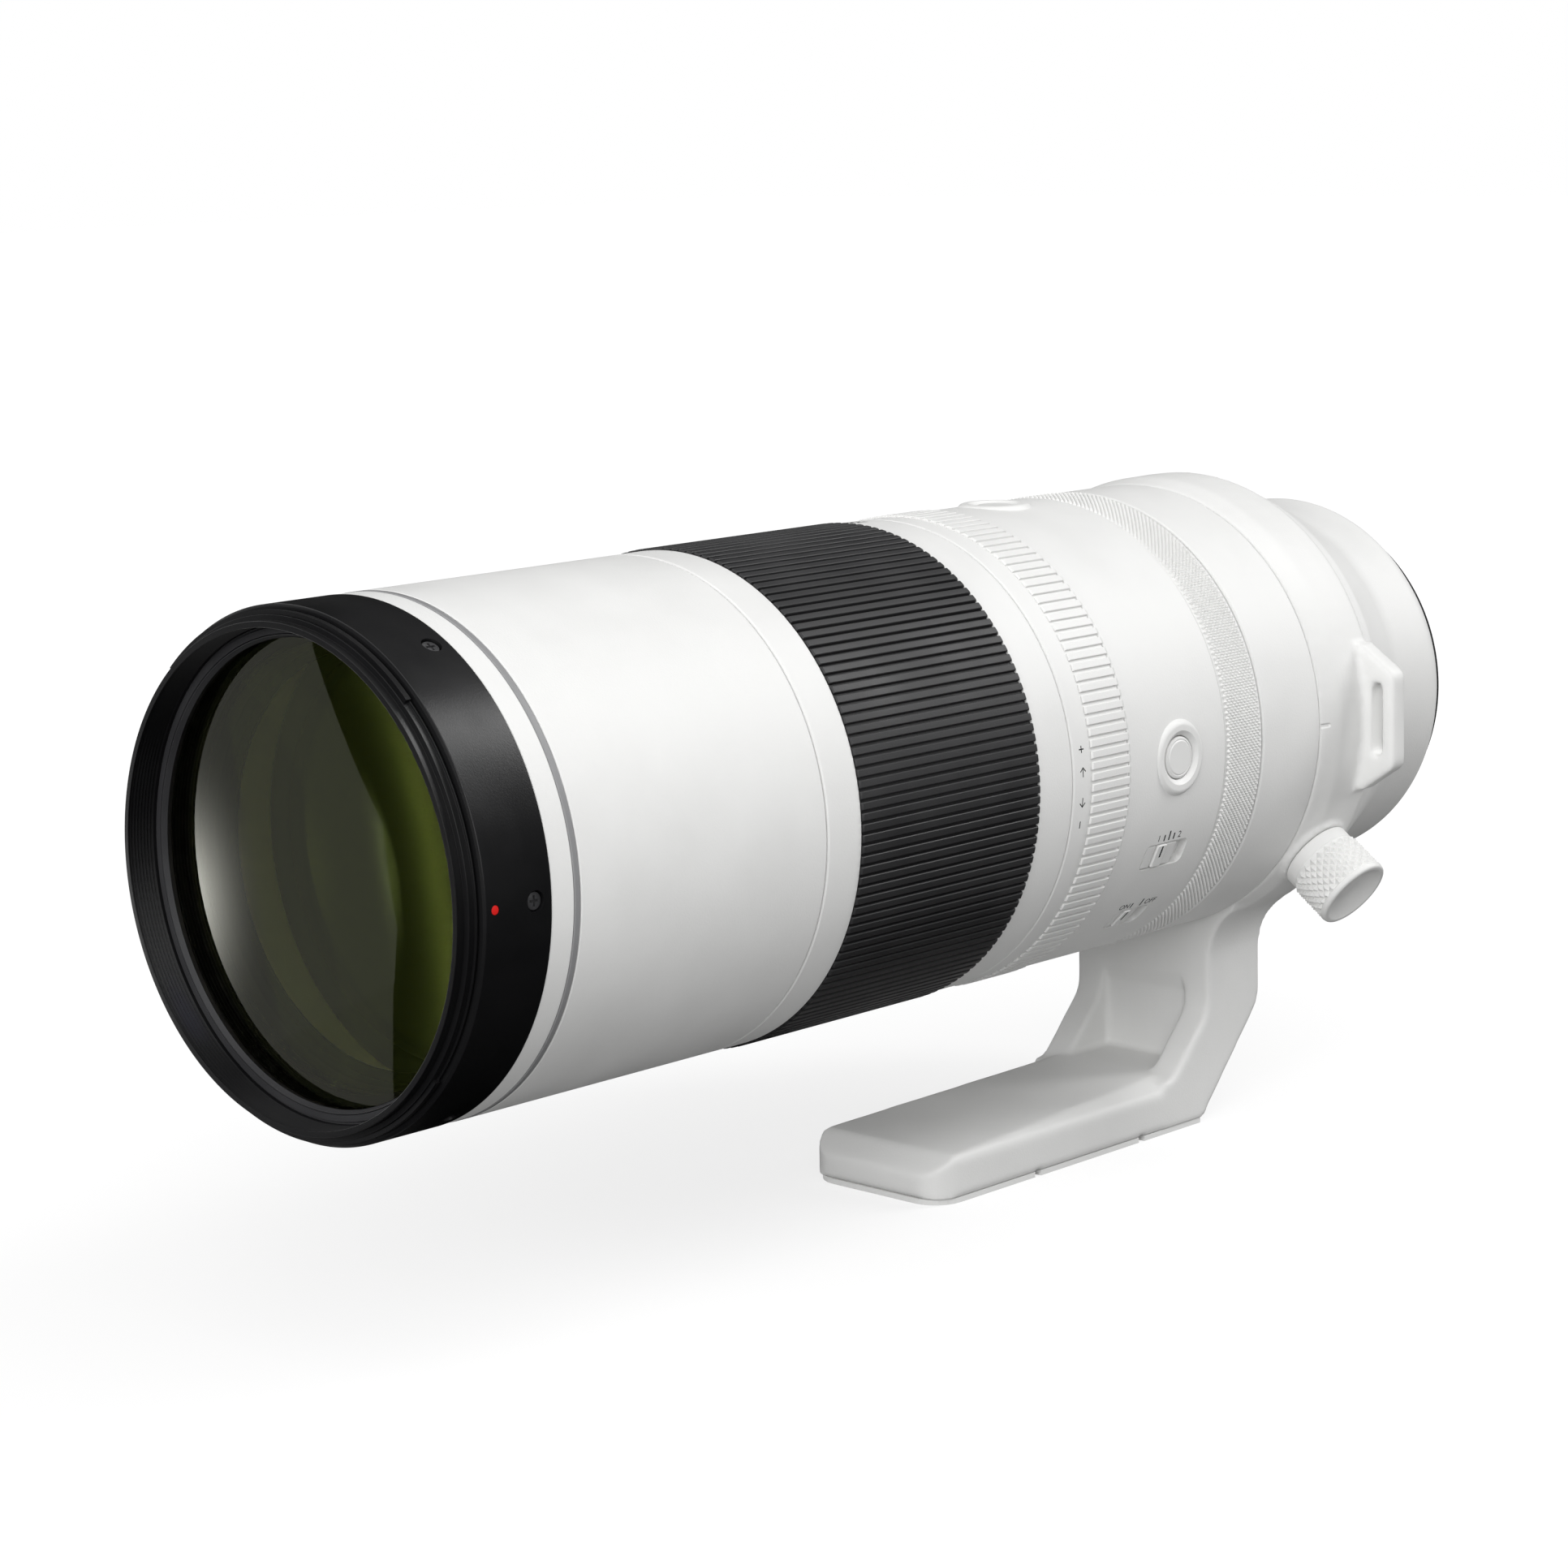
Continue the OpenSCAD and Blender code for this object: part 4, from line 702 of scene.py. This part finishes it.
# Tension ring: a white ring with flat axial bars for the fingers and a printed double arrow on its land.
# Turned and milled in aluminium, then painted. It runs on the front of the switch barrel's sleeve.
tooth_r, tooth_s, tooth_count, tooth_gap = reach("tension_ring"), tension_s0 + 5.8, 138, 0.75
tooth_floor_r = barrel_r - 0.15
tension_body = turned("tension_body", rounded([
    (ring_in, tension_s0, 0), (barrel_r, tension_s0, 0.5), (barrel_r, tooth_s - 0.1, 0.1),
    (tooth_floor_r, tooth_s, 0), (tooth_floor_r, tension_s1, 0.3), (ring_in, tension_s1, 0)]),
    white_paint, 360)


def rib(name, width, low, high, s0, s1, bend, finish):
    """Axial bar with a rounded top and sloped ends, one unit of a ribbed ring"""
    profile = rounded([(-width / 2, low, 0), (-width / 2, high, bend), (width / 2, high, bend),
                       (width / 2, low, 0)], 3)
    verts, faces = [], []
    count = len(profile)
    for station, drop in ((s0, bend), (s0 + bend, 0), (s1 - bend, 0), (s1, bend)):
        for across, height in profile:
            radius = height - (drop if height > low else 0)
            verts.append(Vector((radius * MM, rim_y + station * MM, axis_z + across * MM)))
    for k in range(0, 3 * count, count):
        faces += [(k + i, k + (i + 1) % count, k + count + (i + 1) % count, k + count + i)
                  for i in range(count)]
    faces += [tuple(range(count)), tuple(range(3 * count, 4 * count))]
    return piece(name, verts, faces, finish)


tooth_w = 2 * math.pi * tooth_r / tooth_count - tooth_gap
teeth = rib("teeth", tooth_w, barrel_r - 0.6, tooth_r, tooth_s, tension_s1 - 0.05, 0.2, white_paint)
repeated(teeth, tooth_count)
tension = joined("white_tension_ring", [tension_body, teeth])
fitted(smoothed(tension, 30), "tension_ring", "white_paint", "tension_ring")


def round_ring(station, angle):
    """Printing place on a ring: along runs up round it and up runs forwards"""
    def at(along, up, lift):
        return on_axis(barrel_r + lift, station - up, angle + math.degrees(along / barrel_r))
    return at


arrow, arrow_s, arrow_angle = [], tension_s0 + 3.0, -2
for side, head, sign in ((-1, "←", "−"), (1, "→", "+")):
    for name, words, height, off in (("arrow", head, 2.0, 3.6), ("sign", sign, 2.2, 9)):
        land = round_ring(arrow_s, arrow_angle + side * off)
        arrow.append(lettering(name, words, height, land))
fitted(joined("tension_printing", arrow), "tension_ring", "black_plastic")

# Zoom ring: the wide white ring that turns the cam barrel, with plain focal lengths printed behind its
# grip. Turned in aluminium with a groove for the grip, painted, and screwed to the cam barrel.
zoom_s0, zoom_s1 = span("zoom_ring")
grip_s0, grip_s1 = span("zoom_grip")
zoom_in, grip_in, groove_gap = 47.85, 49.2, 0.1
zoom = turned("white_zoom_ring", rounded([
    (zoom_in, zoom_s0, 0), (barrel_r, zoom_s0, 0.5), (barrel_r, grip_s0 - groove_gap, 0.15),
    (grip_in, grip_s0 - groove_gap, 0), (grip_in, grip_s1 + groove_gap, 0),
    (barrel_r, grip_s1 + groove_gap, 0.15), (barrel_r, zoom_s1, 0.5), (zoom_in, zoom_s1, 0)]),
    white_paint, 360)
fitted(smoothed(zoom), "zoom_ring", "white_paint", "zoom_ring")
figures, figure_s, figure_height = [], grip_s1 + 5.4, 2.6
for words, angle in (("200", 94), ("300", 116), ("400", 136), ("500", 154), ("600", 170), ("800", 192)):
    figures.append(lettering("figure", words, figure_height, round_ring(figure_s, angle)))
fitted(joined("zoom_printing", figures), "zoom_ring", "black_plastic")

# Zoom grip: a black rubber sleeve with flat-topped axial ribs, moulded in one piece and stretched into
# the ring's wide groove.
grip_r, rib_count, rib_gap, rib_deep = reach("zoom_grip"), 150, 0.6, 0.9
grip_rubber = coated("grip_rubber", (0.030, 0.030, 0.031), (0.022, 0.022, 0.023), (0.45, 0.58),
                     grains=2400, relief=0.02, specular=0.35)
grip_base = turned("grip_base", [(grip_in + 0.05, grip_s0), (grip_r - rib_deep, grip_s0),
                                 (grip_r - rib_deep, grip_s1), (grip_in + 0.05, grip_s1)], grip_rubber, 300)
rib_w = 2 * math.pi * grip_r / rib_count - rib_gap
ribs = rib("ribs", rib_w, grip_r - rib_deep - 0.2, grip_r, grip_s0 + 0.02, grip_s1 - 0.02, 0.25, grip_rubber)
repeated(ribs, rib_count)
fitted(smoothed(joined("rubber_zoom_grip", [grip_base, ribs]), 30), "zoom_ring", "rubber", "zoom_grip")

# Front lens cell and the three front elements: a black ring stack that centres them. Each element is ground
# and polished glass, coated against reflections, with its edge lacquered black. The front one stands forward
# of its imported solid, where the photo shows it.
lacquer = coated("edge_lacquer", (0.013, 0.009, 0.007), (0.009, 0.0065, 0.005), (0.5, 0.65), relief=0.01,
                 specular=0.12)
outer_glass = polished_glass("outer_coated_glass", (0.96, 0.97, 0.86), 1.85, (0.8, 0.8, 0.66))


def sag(curve, radius):
    """How far a spherical face has moved along the axis at a radius"""
    return math.copysign(abs(curve) - math.sqrt(curve * curve - radius * radius), curve)


def element(node, front, front_curve, back, back_curve, coating, steps=24):
    """Lens between two spherical faces, given by the stations and curves of their middles"""
    radii = [reach(node) * k / steps for k in range(steps + 1)]
    outline = [(radius, front + sag(front_curve, radius)) for radius in radii]
    outline += [(radius, back + sag(back_curve, radius)) for radius in reversed(radii)]
    glass = turned("glass_" + node, outline, coating, 180)
    glass.data.materials.append(inner_glass)
    glass.data.materials.append(lacquer)
    back_face, rim_face = 1, 2
    for face in glass.data.polygons:
        if abs(face.normal.y) < 0.5:
            face.material_index = rim_face
        elif face.normal.y > 0:
            face.material_index = back_face
    fitted(smoothed(glass, 30), "front_barrel", "glass", node)


element("front_element", 3.5, 360, 10.4, 1400, outer_glass)
element("second_element", 27, -144, 27.6, -300, inner_glass)
element("third_element", 29.4, -300, 32.4, 700, inner_glass)
cell_black = coated("lens_cell_black", (0.016, 0.015, 0.014), (0.011, 0.0105, 0.01), (0.55, 0.7),
                    relief=0.01, specular=0.12)
dress(cell_black, "front_cell")

# Front retainer: the threaded black ring that holds the front element, turned with a bright thin bevel
# that meets the glass and a fine groove round its face.
retainer_s0, retainer_s1 = 5.1, span("front_retainer")[1]
thread_in, seat_r, face_groove_r, face_r = 46.9, reach("front_element") + 0.06, 45.0, 46.35
retainer_r, shoulder_s = thread_in - 0.05, retainer_s0 + 0.45
retainer = turned("black_front_retainer", rounded([
    (seat_r, retainer_s0 + 1.1, 0.03), (seat_r + 0.5, retainer_s0 + 0.1, 0.08),
    (face_groove_r - 0.1, retainer_s0 + 0.1, 0), (face_groove_r, retainer_s0 + 0.5, 0),
    (face_groove_r + 0.1, retainer_s0, 0), (face_r, retainer_s0, 0.12), (face_r + 0.15, shoulder_s, 0),
    (retainer_r, shoulder_s, 0), (retainer_r, retainer_s1, 0), (seat_r, retainer_s1, 0)]), extension_black)
fitted(smoothed(retainer), "front_barrel", "black_metal", "front_retainer")

# Hood mount: the black front ring with the filter thread inside and two bayonet rails for the hood
# outside. Moulded in glass-filled plastic and fixed to the front tube by six small screws.
hood_r, hood_s1, hood_in, hood_seat_s = barrel_r, span("hood_mount")[1], 48.55, 8.4
rim_r, rim_in, nose_r, nose_s, groove_r, ridge_r = 48.0, 46.8, 49.0, 0.6, 48.7, 49.45
rail_r, rail_s0, rail_s1 = 49.85, 1.2, 2.4
thread_first, thread_pitch, thread_turns, thread_s1 = 0.4 - rim_lead, 0.75, 8, 4.95
crest_r, root_r = 46.95, 47.35
hood_black = coated("hood_mount_black", (0.007, 0.007, 0.0075), (0.005, 0.005, 0.0055), (0.28, 0.36),
                    grains=2600, relief=0.012, specular=0.32)
thread = []
for k in reversed(range(thread_turns)):
    turn_s = thread_first + k * thread_pitch
    thread += [(crest_r, turn_s + thread_pitch / 2), (root_r, turn_s)]
hood = turned("black_hood_mount", rounded([
    (rim_in, -rim_lead, 0.12), (rim_r, -rim_lead, 0.12), (rim_r, nose_s, 0.05), (nose_r, nose_s + 0.15, 0.1),
    (nose_r, rail_s1 - 0.35, 0.05), (ridge_r, rail_s1 - 0.3, 0.05), (ridge_r, rail_s1, 0.08),
    (groove_r, rail_s1 + 0.05, 0), (groove_r, rail_s1 + 0.4, 0), (hood_r - 0.55, rail_s1 + 0.45, 0.1),
    (hood_r, rail_s1 + 0.8, 0.25), (hood_r, hood_s1, 0.15), (hood_in, hood_s1, 0), (hood_in, hood_seat_s, 0),
    (thread_in, hood_seat_s, 0), (thread_in, thread_s1, 0)]) + thread, hood_black, 360)
rails = [ring_part("rail", nose_r - 0.6, rail_r, rail_s0, rail_s1 - 0.02, middle, half, hood_black, 64)
         for middle, half in ((90, 43), (-87, 46))]
boolean(hood, rails, "UNION")
hood_screw_s, hood_screw_count, recess_r, recess_floor = 15.0, 6, 1.9, hood_r - 1.2
dot_s, dot_r, dot_floor, cut_top = 5.4, 0.95, hood_r - 0.5, hood_r + 1
hood_cuts = []
for i in range(hood_screw_count):
    hood_cuts.append(turned("recess", [
        (0, recess_floor), (recess_r, recess_floor), (recess_r + 0.15, cut_top), (0, cut_top)],
        hood_black, 48, upright(outward(hood_screw_s, 360 / hood_screw_count * i))))
hood_cuts.append(turned("dot_recess", [
    (0, dot_floor), (dot_r, dot_floor), (dot_r, cut_top), (0, cut_top)],
    hood_black, 32, upright(outward(dot_s, 0))))
boolean(hood, hood_cuts, "DIFFERENCE")
fitted(smoothed(hood, 25), "front_barrel", "black_plastic", "hood_mount")

# Hood mount screws and index dot: blackened cross-head screws sunk below the surface, and a dot of red
# enamel run into its recess to show how the hood goes on.
hood_shank_r, hood_shank_low = 0.85, 47.5
hood_screws = cross_screw("black_hood_screws", outward(hood_screw_s, 0), screw_head_r, recess_floor + 0.05,
                          hood_r - 0.45, hood_shank_r, hood_shank_low, black_steel)
repeated(hood_screws, hood_screw_count)
fitted(smoothed(hood_screws), "front_barrel", "dark_steel", "hood_mount_screws")
red_enamel = coated("red_enamel", (0.75, 0.012, 0.01), (0.65, 0.01, 0.008), (0.3, 0.4), relief=0.004)
dot = turned("red_index_dot", rounded([
    (0, dot_floor + 0.05, 0), (dot_r - 0.05, dot_floor + 0.05, 0), (dot_r - 0.05, hood_r - 0.1, 0.1),
    (0, hood_r - 0.02, 0)]), red_enamel, 48, upright(outward(dot_s, 0)))
fitted(smoothed(dot), "front_barrel", "red_paint", "index_dot")

# Front band, trim ring and front tube: a white moulded band, a turned metal ring and the white tube
# that carries them, pushed on from the front and held by the hood mount.
trim_metal = coated("satin_trim", (0.27, 0.27, 0.275), (0.24, 0.24, 0.245), (0.4, 0.5), grains=6000,
                    specular=0.4)
trim_s0, trim_s1 = span("trim_ring")
band_s0, band_s1 = span("front_band")
band_r = reach("front_band")
band = turned("white_front_band", rounded([
    (hood_in, band_s0, 0), (band_r, band_s0, 0.25), (band_r, band_s1, 0.25), (hood_in, band_s1, 0)]),
    white_paint, 360)
fitted(smoothed(band), "front_barrel", "white_plastic", "front_band")
trim = turned("metal_trim_ring", rounded([
    (hood_in, trim_s0, 0), (barrel_r, trim_s0, 0.3), (barrel_r, trim_s1, 0.35), (hood_in, trim_s1, 0)]),
    trim_metal, 360)
fitted(smoothed(trim), "front_barrel", "trim_metal", "trim_ring")
tube_s0, tube_s1 = span("front_tube")
tube_in, tube_fit_r, tube_wide_in, tube_face, bore_step_s = 46.9, 48.5, 48.6, trim_s1 + 0.05, 40
tube = turned("white_front_tube", rounded([
    (tube_in, tube_s0, 0), (tube_fit_r, tube_s0, 0), (tube_fit_r, tube_face, 0), (barrel_r, tube_face, 0.3),
    (barrel_r, tube_s1, 0.5), (tube_wide_in, tube_s1, 0), (tube_wide_in, bore_step_s + 2, 0),
    (tube_in, bore_step_s, 0)]), white_paint, 360)
fitted(smoothed(tube), "front_barrel", "white_plastic", "front_tube")

# Tripod collar: ring, leg, foot and strap lugs cast in one piece of magnesium, shot-blasted and painted
# with the barrel's white, so every edge is soft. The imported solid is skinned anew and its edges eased.
skin, ring_out, pad_seat = 0.7, 52.5, 2.2
least_ease, ease_over_ring, ease_over_pad = 0.12, 3, 1.5
collar = placed("white_tripod_collar", nodes["tripod_collar"].data.copy())
work = bmesh.new()
work.from_mesh(collar.data)
bmesh.ops.remove_doubles(work, verts=work.verts, dist=0.00001)
work.to_mesh(collar.data)
work.free()
skinned = collar.modifiers.new("skin", "REMESH")
skinned.mode = "VOXEL"
skinned.voxel_size = skin * MM
applied(collar)
soft = collar.vertex_groups.new(name="soft")
for vert in collar.data.vertices:
    off_ring = math.hypot(vert.co.x, vert.co.z - axis_z) / MM - ring_out
    off_pad = vert.co.z / MM - pad_seat
    ease = max(least_ease, min(1, off_ring / ease_over_ring)) * max(0, min(1, off_pad / ease_over_pad))
    soft.add([vert.index], ease, "REPLACE")
eased = collar.modifiers.new("eased", "SMOOTH")
eased.vertex_group = "soft"
eased.factor, eased.iterations = 0.6, 5
applied(collar)
collar.vertex_groups.clear()
collar.data.materials.clear()
collar.data.materials.append(white_paint)
tick = block("tick", ((-0.5, 2.6), (-0.35, 0.35), (ring_out - 1.9, ring_out + 1.5)),
             outward(collar_s0 + 0.2, 0), white_paint)
boolean(collar, [tick], "DIFFERENCE")
collar.data.shade_smooth()
fitted(collar, "tripod_collar", "white_paint", "tripod_collar")

# Foot pad, its screws, the tripod bush and the collar lining: a white moulded pad screwed under the foot,
# a threaded steel bush for the tripod, and a slippery black liner that the barrel turns in.
dress(white_cap, "foot_pad")
dress(moulded_black, "collar_lining")
dress(ground_steel, "foot_pad_screws", "tripod_bush")

# Lock knob: a white moulded knob on a steel screw, coarsely knurled round its side and dished at its end.
# It is pressed on the screw's shank, which clamps the barrel through the collar's wall.
knob_place, knob_r, shank_r = outward(259.55, -36.5), 9.0, 2.05
knob_low, knob_top = ring_out, ring_out + 13.6
knob_base, knob_pitch, knurl_low, knurl_top = knob_r - 0.75, 2.1, knob_low + 3.1, knob_top - 1.5
knob_body = turned("knob_body", rounded([
    (shank_r, knob_low, 0), (knob_r - 0.6, knob_low, 0.4), (knob_r - 0.6, knurl_low - 0.3, 0.2),
    (knob_base, knurl_low - 0.1, 0), (knob_base, knurl_top - 0.1, 0.1), (knob_r - 0.05, knurl_top + 0.2, 0.3),
    (knob_r - 0.35, knob_top, 0.7), (knob_r - 1.4, knob_top, 0.4), (4, knob_top - 2.6, 3),
    (0, knob_top - 3, 0), (0, knob_top - 5, 0), (shank_r, knob_top - 5, 0)]),
    white_paint, 144, upright(knob_place))
knob_points = knurl("knob_points", knob_base, knob_r, knurl_low, knurl_top, knob_pitch, upright(knob_place),
                    knob_place @ Matrix.Rotation(math.pi / 2, 4, "X"))
knob = joined("white_lock_knob", [knob_body, knob_points])
fitted(smoothed(knob), "lock_knob", "white_paint", "lock_knob")


# Studio: a white paper floor and pale surroundings, soft lamps round the lens, and cards that only glossy
# faces and glass see: dark ones, which keep black parts black, and a bright one on the left.
def stage_material(name, tone, glow):
    """Matt paper or cloth whose own light is a socket made by glow(tree)"""
    material, tree, surface = new_finish(name)
    feed(surface, {"Base Color": (tone, tone, tone, 1), "Roughness": 1, "Specular IOR Level": 0,
                   "Emission Color": (1, 1, 1, 1), "Emission Strength": glow(tree)})
    return material


def seen_light(tree, level):
    """Strength that only the camera, mirror-like surfaces and glass see"""
    path = added(tree, "LightPath").outputs
    total = path["Is Camera Ray"]
    for label in ("Is Glossy Ray", "Is Transmission Ray"):
        total = added(tree, "Math", {0: total, 1: path[label]}, operation="MAXIMUM").outputs[0]
    return added(tree, "Math", {0: total, 1: level}, operation="MULTIPLY").outputs[0]


def falloff(tree, spot, start, end, low, high):
    """Value that runs from low to high between two distances from a spot"""
    place = added(tree, "TexCoord").outputs["Object"]
    apart = added(tree, "VectorMath", {0: place, 1: spot}, operation="DISTANCE").outputs["Value"]
    return added(tree, "MapRange", {"Value": apart, "From Min": start, "From Max": end, "To Min": low,
                                    "To Max": high}).outputs["Result"]


def spot_light(tree):
    """Glow of the left card: dim, and several times brighter round one spot"""
    near = falloff(tree, (-0.15, -0.245, 0.058), 0.065, 0.015, 0, 1)
    swell = added(tree, "Math", {0: near, 1: 4}, operation="POWER").outputs[0]
    return added(tree, "MapRange", {"Value": swell, "To Min": 0.27, "To Max": 3.8}).outputs["Result"]


def paper_light(tree):
    """Seen strength of the floor: what the lamps leave short of white, less where they reach"""
    short = falloff(tree, (0.1, -0.1, 0), 0, 1.1, 0.71, 0.925)
    return added(tree, "Math", {0: short, 1: seen_light(tree, 1)}, operation="MULTIPLY").outputs[0]


def sheet(name, corners, material):
    """Flat stage piece through corner points in metres"""
    mesh = bpy.data.meshes.new(name)
    mesh.from_pydata(corners, [], [tuple(range(len(corners)))])
    mesh.materials.append(material)
    part = placed(name, mesh)
    return part


def card(name, corners, material):
    """Sheet that neither the camera nor matt surfaces see, and that casts no shadow"""
    part = sheet(name, corners, material)
    part.visible_camera = part.visible_diffuse = part.visible_shadow = False


sheet("floor", [(-6, -6, 0), (6, -6, 0), (6, 6, 0), (-6, 6, 0)],
      stage_material("white_paper", 0.3, paper_light))
velvet = stage_material("black_velvet", 0, lambda tree: seen_light(tree, 0))
grey_card = stage_material("grey_card", 0, lambda tree: seen_light(tree, 0.24))
bright_card = stage_material("bright_card", 0, spot_light)
card("floor_card", [(x, y, 0.002) for x, y in (
    (0.02, -0.17), (-0.077, -0.293), (-0.152, -0.386), (-3, -0.6), (-3, -2), (3, -2), (3, 1.6), (-3, 1.6),
    (-3, 0.4))], velvet)
card("near_card", [(x, y, 0.001) for x, y in ((0.1, -0.1), (-0.16, -0.1), (-0.16, -0.42), (0.1, -0.42))],
     grey_card)
card("rear_card", [(x, 1.6, z) for x, z in ((-3, 0), (3, 0), (3, 2.6), (-3, 2.6))], velvet)
card("front_card", [(x, -1.15, z) for x, z in ((-3, 0), (1.5, 0), (1.5, 1.6), (-3, 1.6))], velvet)
card("left_card", [(-0.15, y, z) for y, z in (
    (-0.385, 0.003), (-0.396, 0.026), (-0.391, 0.073), (-0.367, 0.1), (-0.336, 0.136), (-0.3, 0.18),
    (-0.2, 0.3), (-0.2, 0.003))], bright_card)
world = bpy.data.worlds.new("studio")
world.use_nodes = True
bpy.context.scene.world = world
tree = world.node_tree
sky = added(tree, "MapRange", {"Value": seen_light(tree, 1), "To Min": 0.316, "To Max": 1})
feed(tree.nodes["Background"], {"Color": (1, 1, 1, 1), "Strength": sky.outputs["Result"]})


def lamp(name, place, size, power):
    """Soft rectangular lamp, placed in metres from the middle of the lens and aimed at it"""
    light = bpy.data.lights.new(name, "AREA")
    light.shape = "RECTANGLE"
    light.size, light.size_y = size
    light.energy = power
    stand = placed(name, light)
    stand.location = Vector((0, 0, axis_z)) + Vector(place)
    stand.rotation_mode = "QUATERNION"
    stand.rotation_quaternion = (-Vector(place)).to_track_quat("-Z", "Y")


lamp("key", (0.56, -0.3, 1.06), (1.2, 0.9), 3.7)
lamp("front", (0.1, -1.3, 0.35), (0.9, 0.6), 8)
lamp("rear", (0.5, 0.85, 0.68), (0.3, 0.8), 7.7)
lamp("eye", (0.75, -1.0, 0.45), (0.8, 0.8), 6.7)

# Camera: a long lens low on the right, so that the front glass and the whole right side show. Its place,
# angle and small roll come from fitting the photo's perspective.
bpy.context.scene.view_settings.view_transform = "Standard"
eye = bpy.data.cameras.new("camera")
eye.sensor_width = 36
eye.lens = 88.71
eye.clip_start, eye.clip_end = 0.05, 50
camera = placed("camera", eye)
across, above, roll = math.radians(43.76), math.radians(11.42), math.radians(1.9)
back = Vector((math.sin(across) * math.cos(above), -math.cos(across) * math.cos(above), math.sin(above)))
right = Vector((math.cos(across), math.sin(across), 0))
pose = Matrix.Rotation(roll, 4, "Y") @ Matrix((right, back.cross(right), back)).transposed().to_4x4()
pose.translation = Vector((549.77, -644.60, 139.79)) * MM + Vector((0, 0, axis_z))
camera.matrix_world = pose
bpy.context.scene.camera = camera
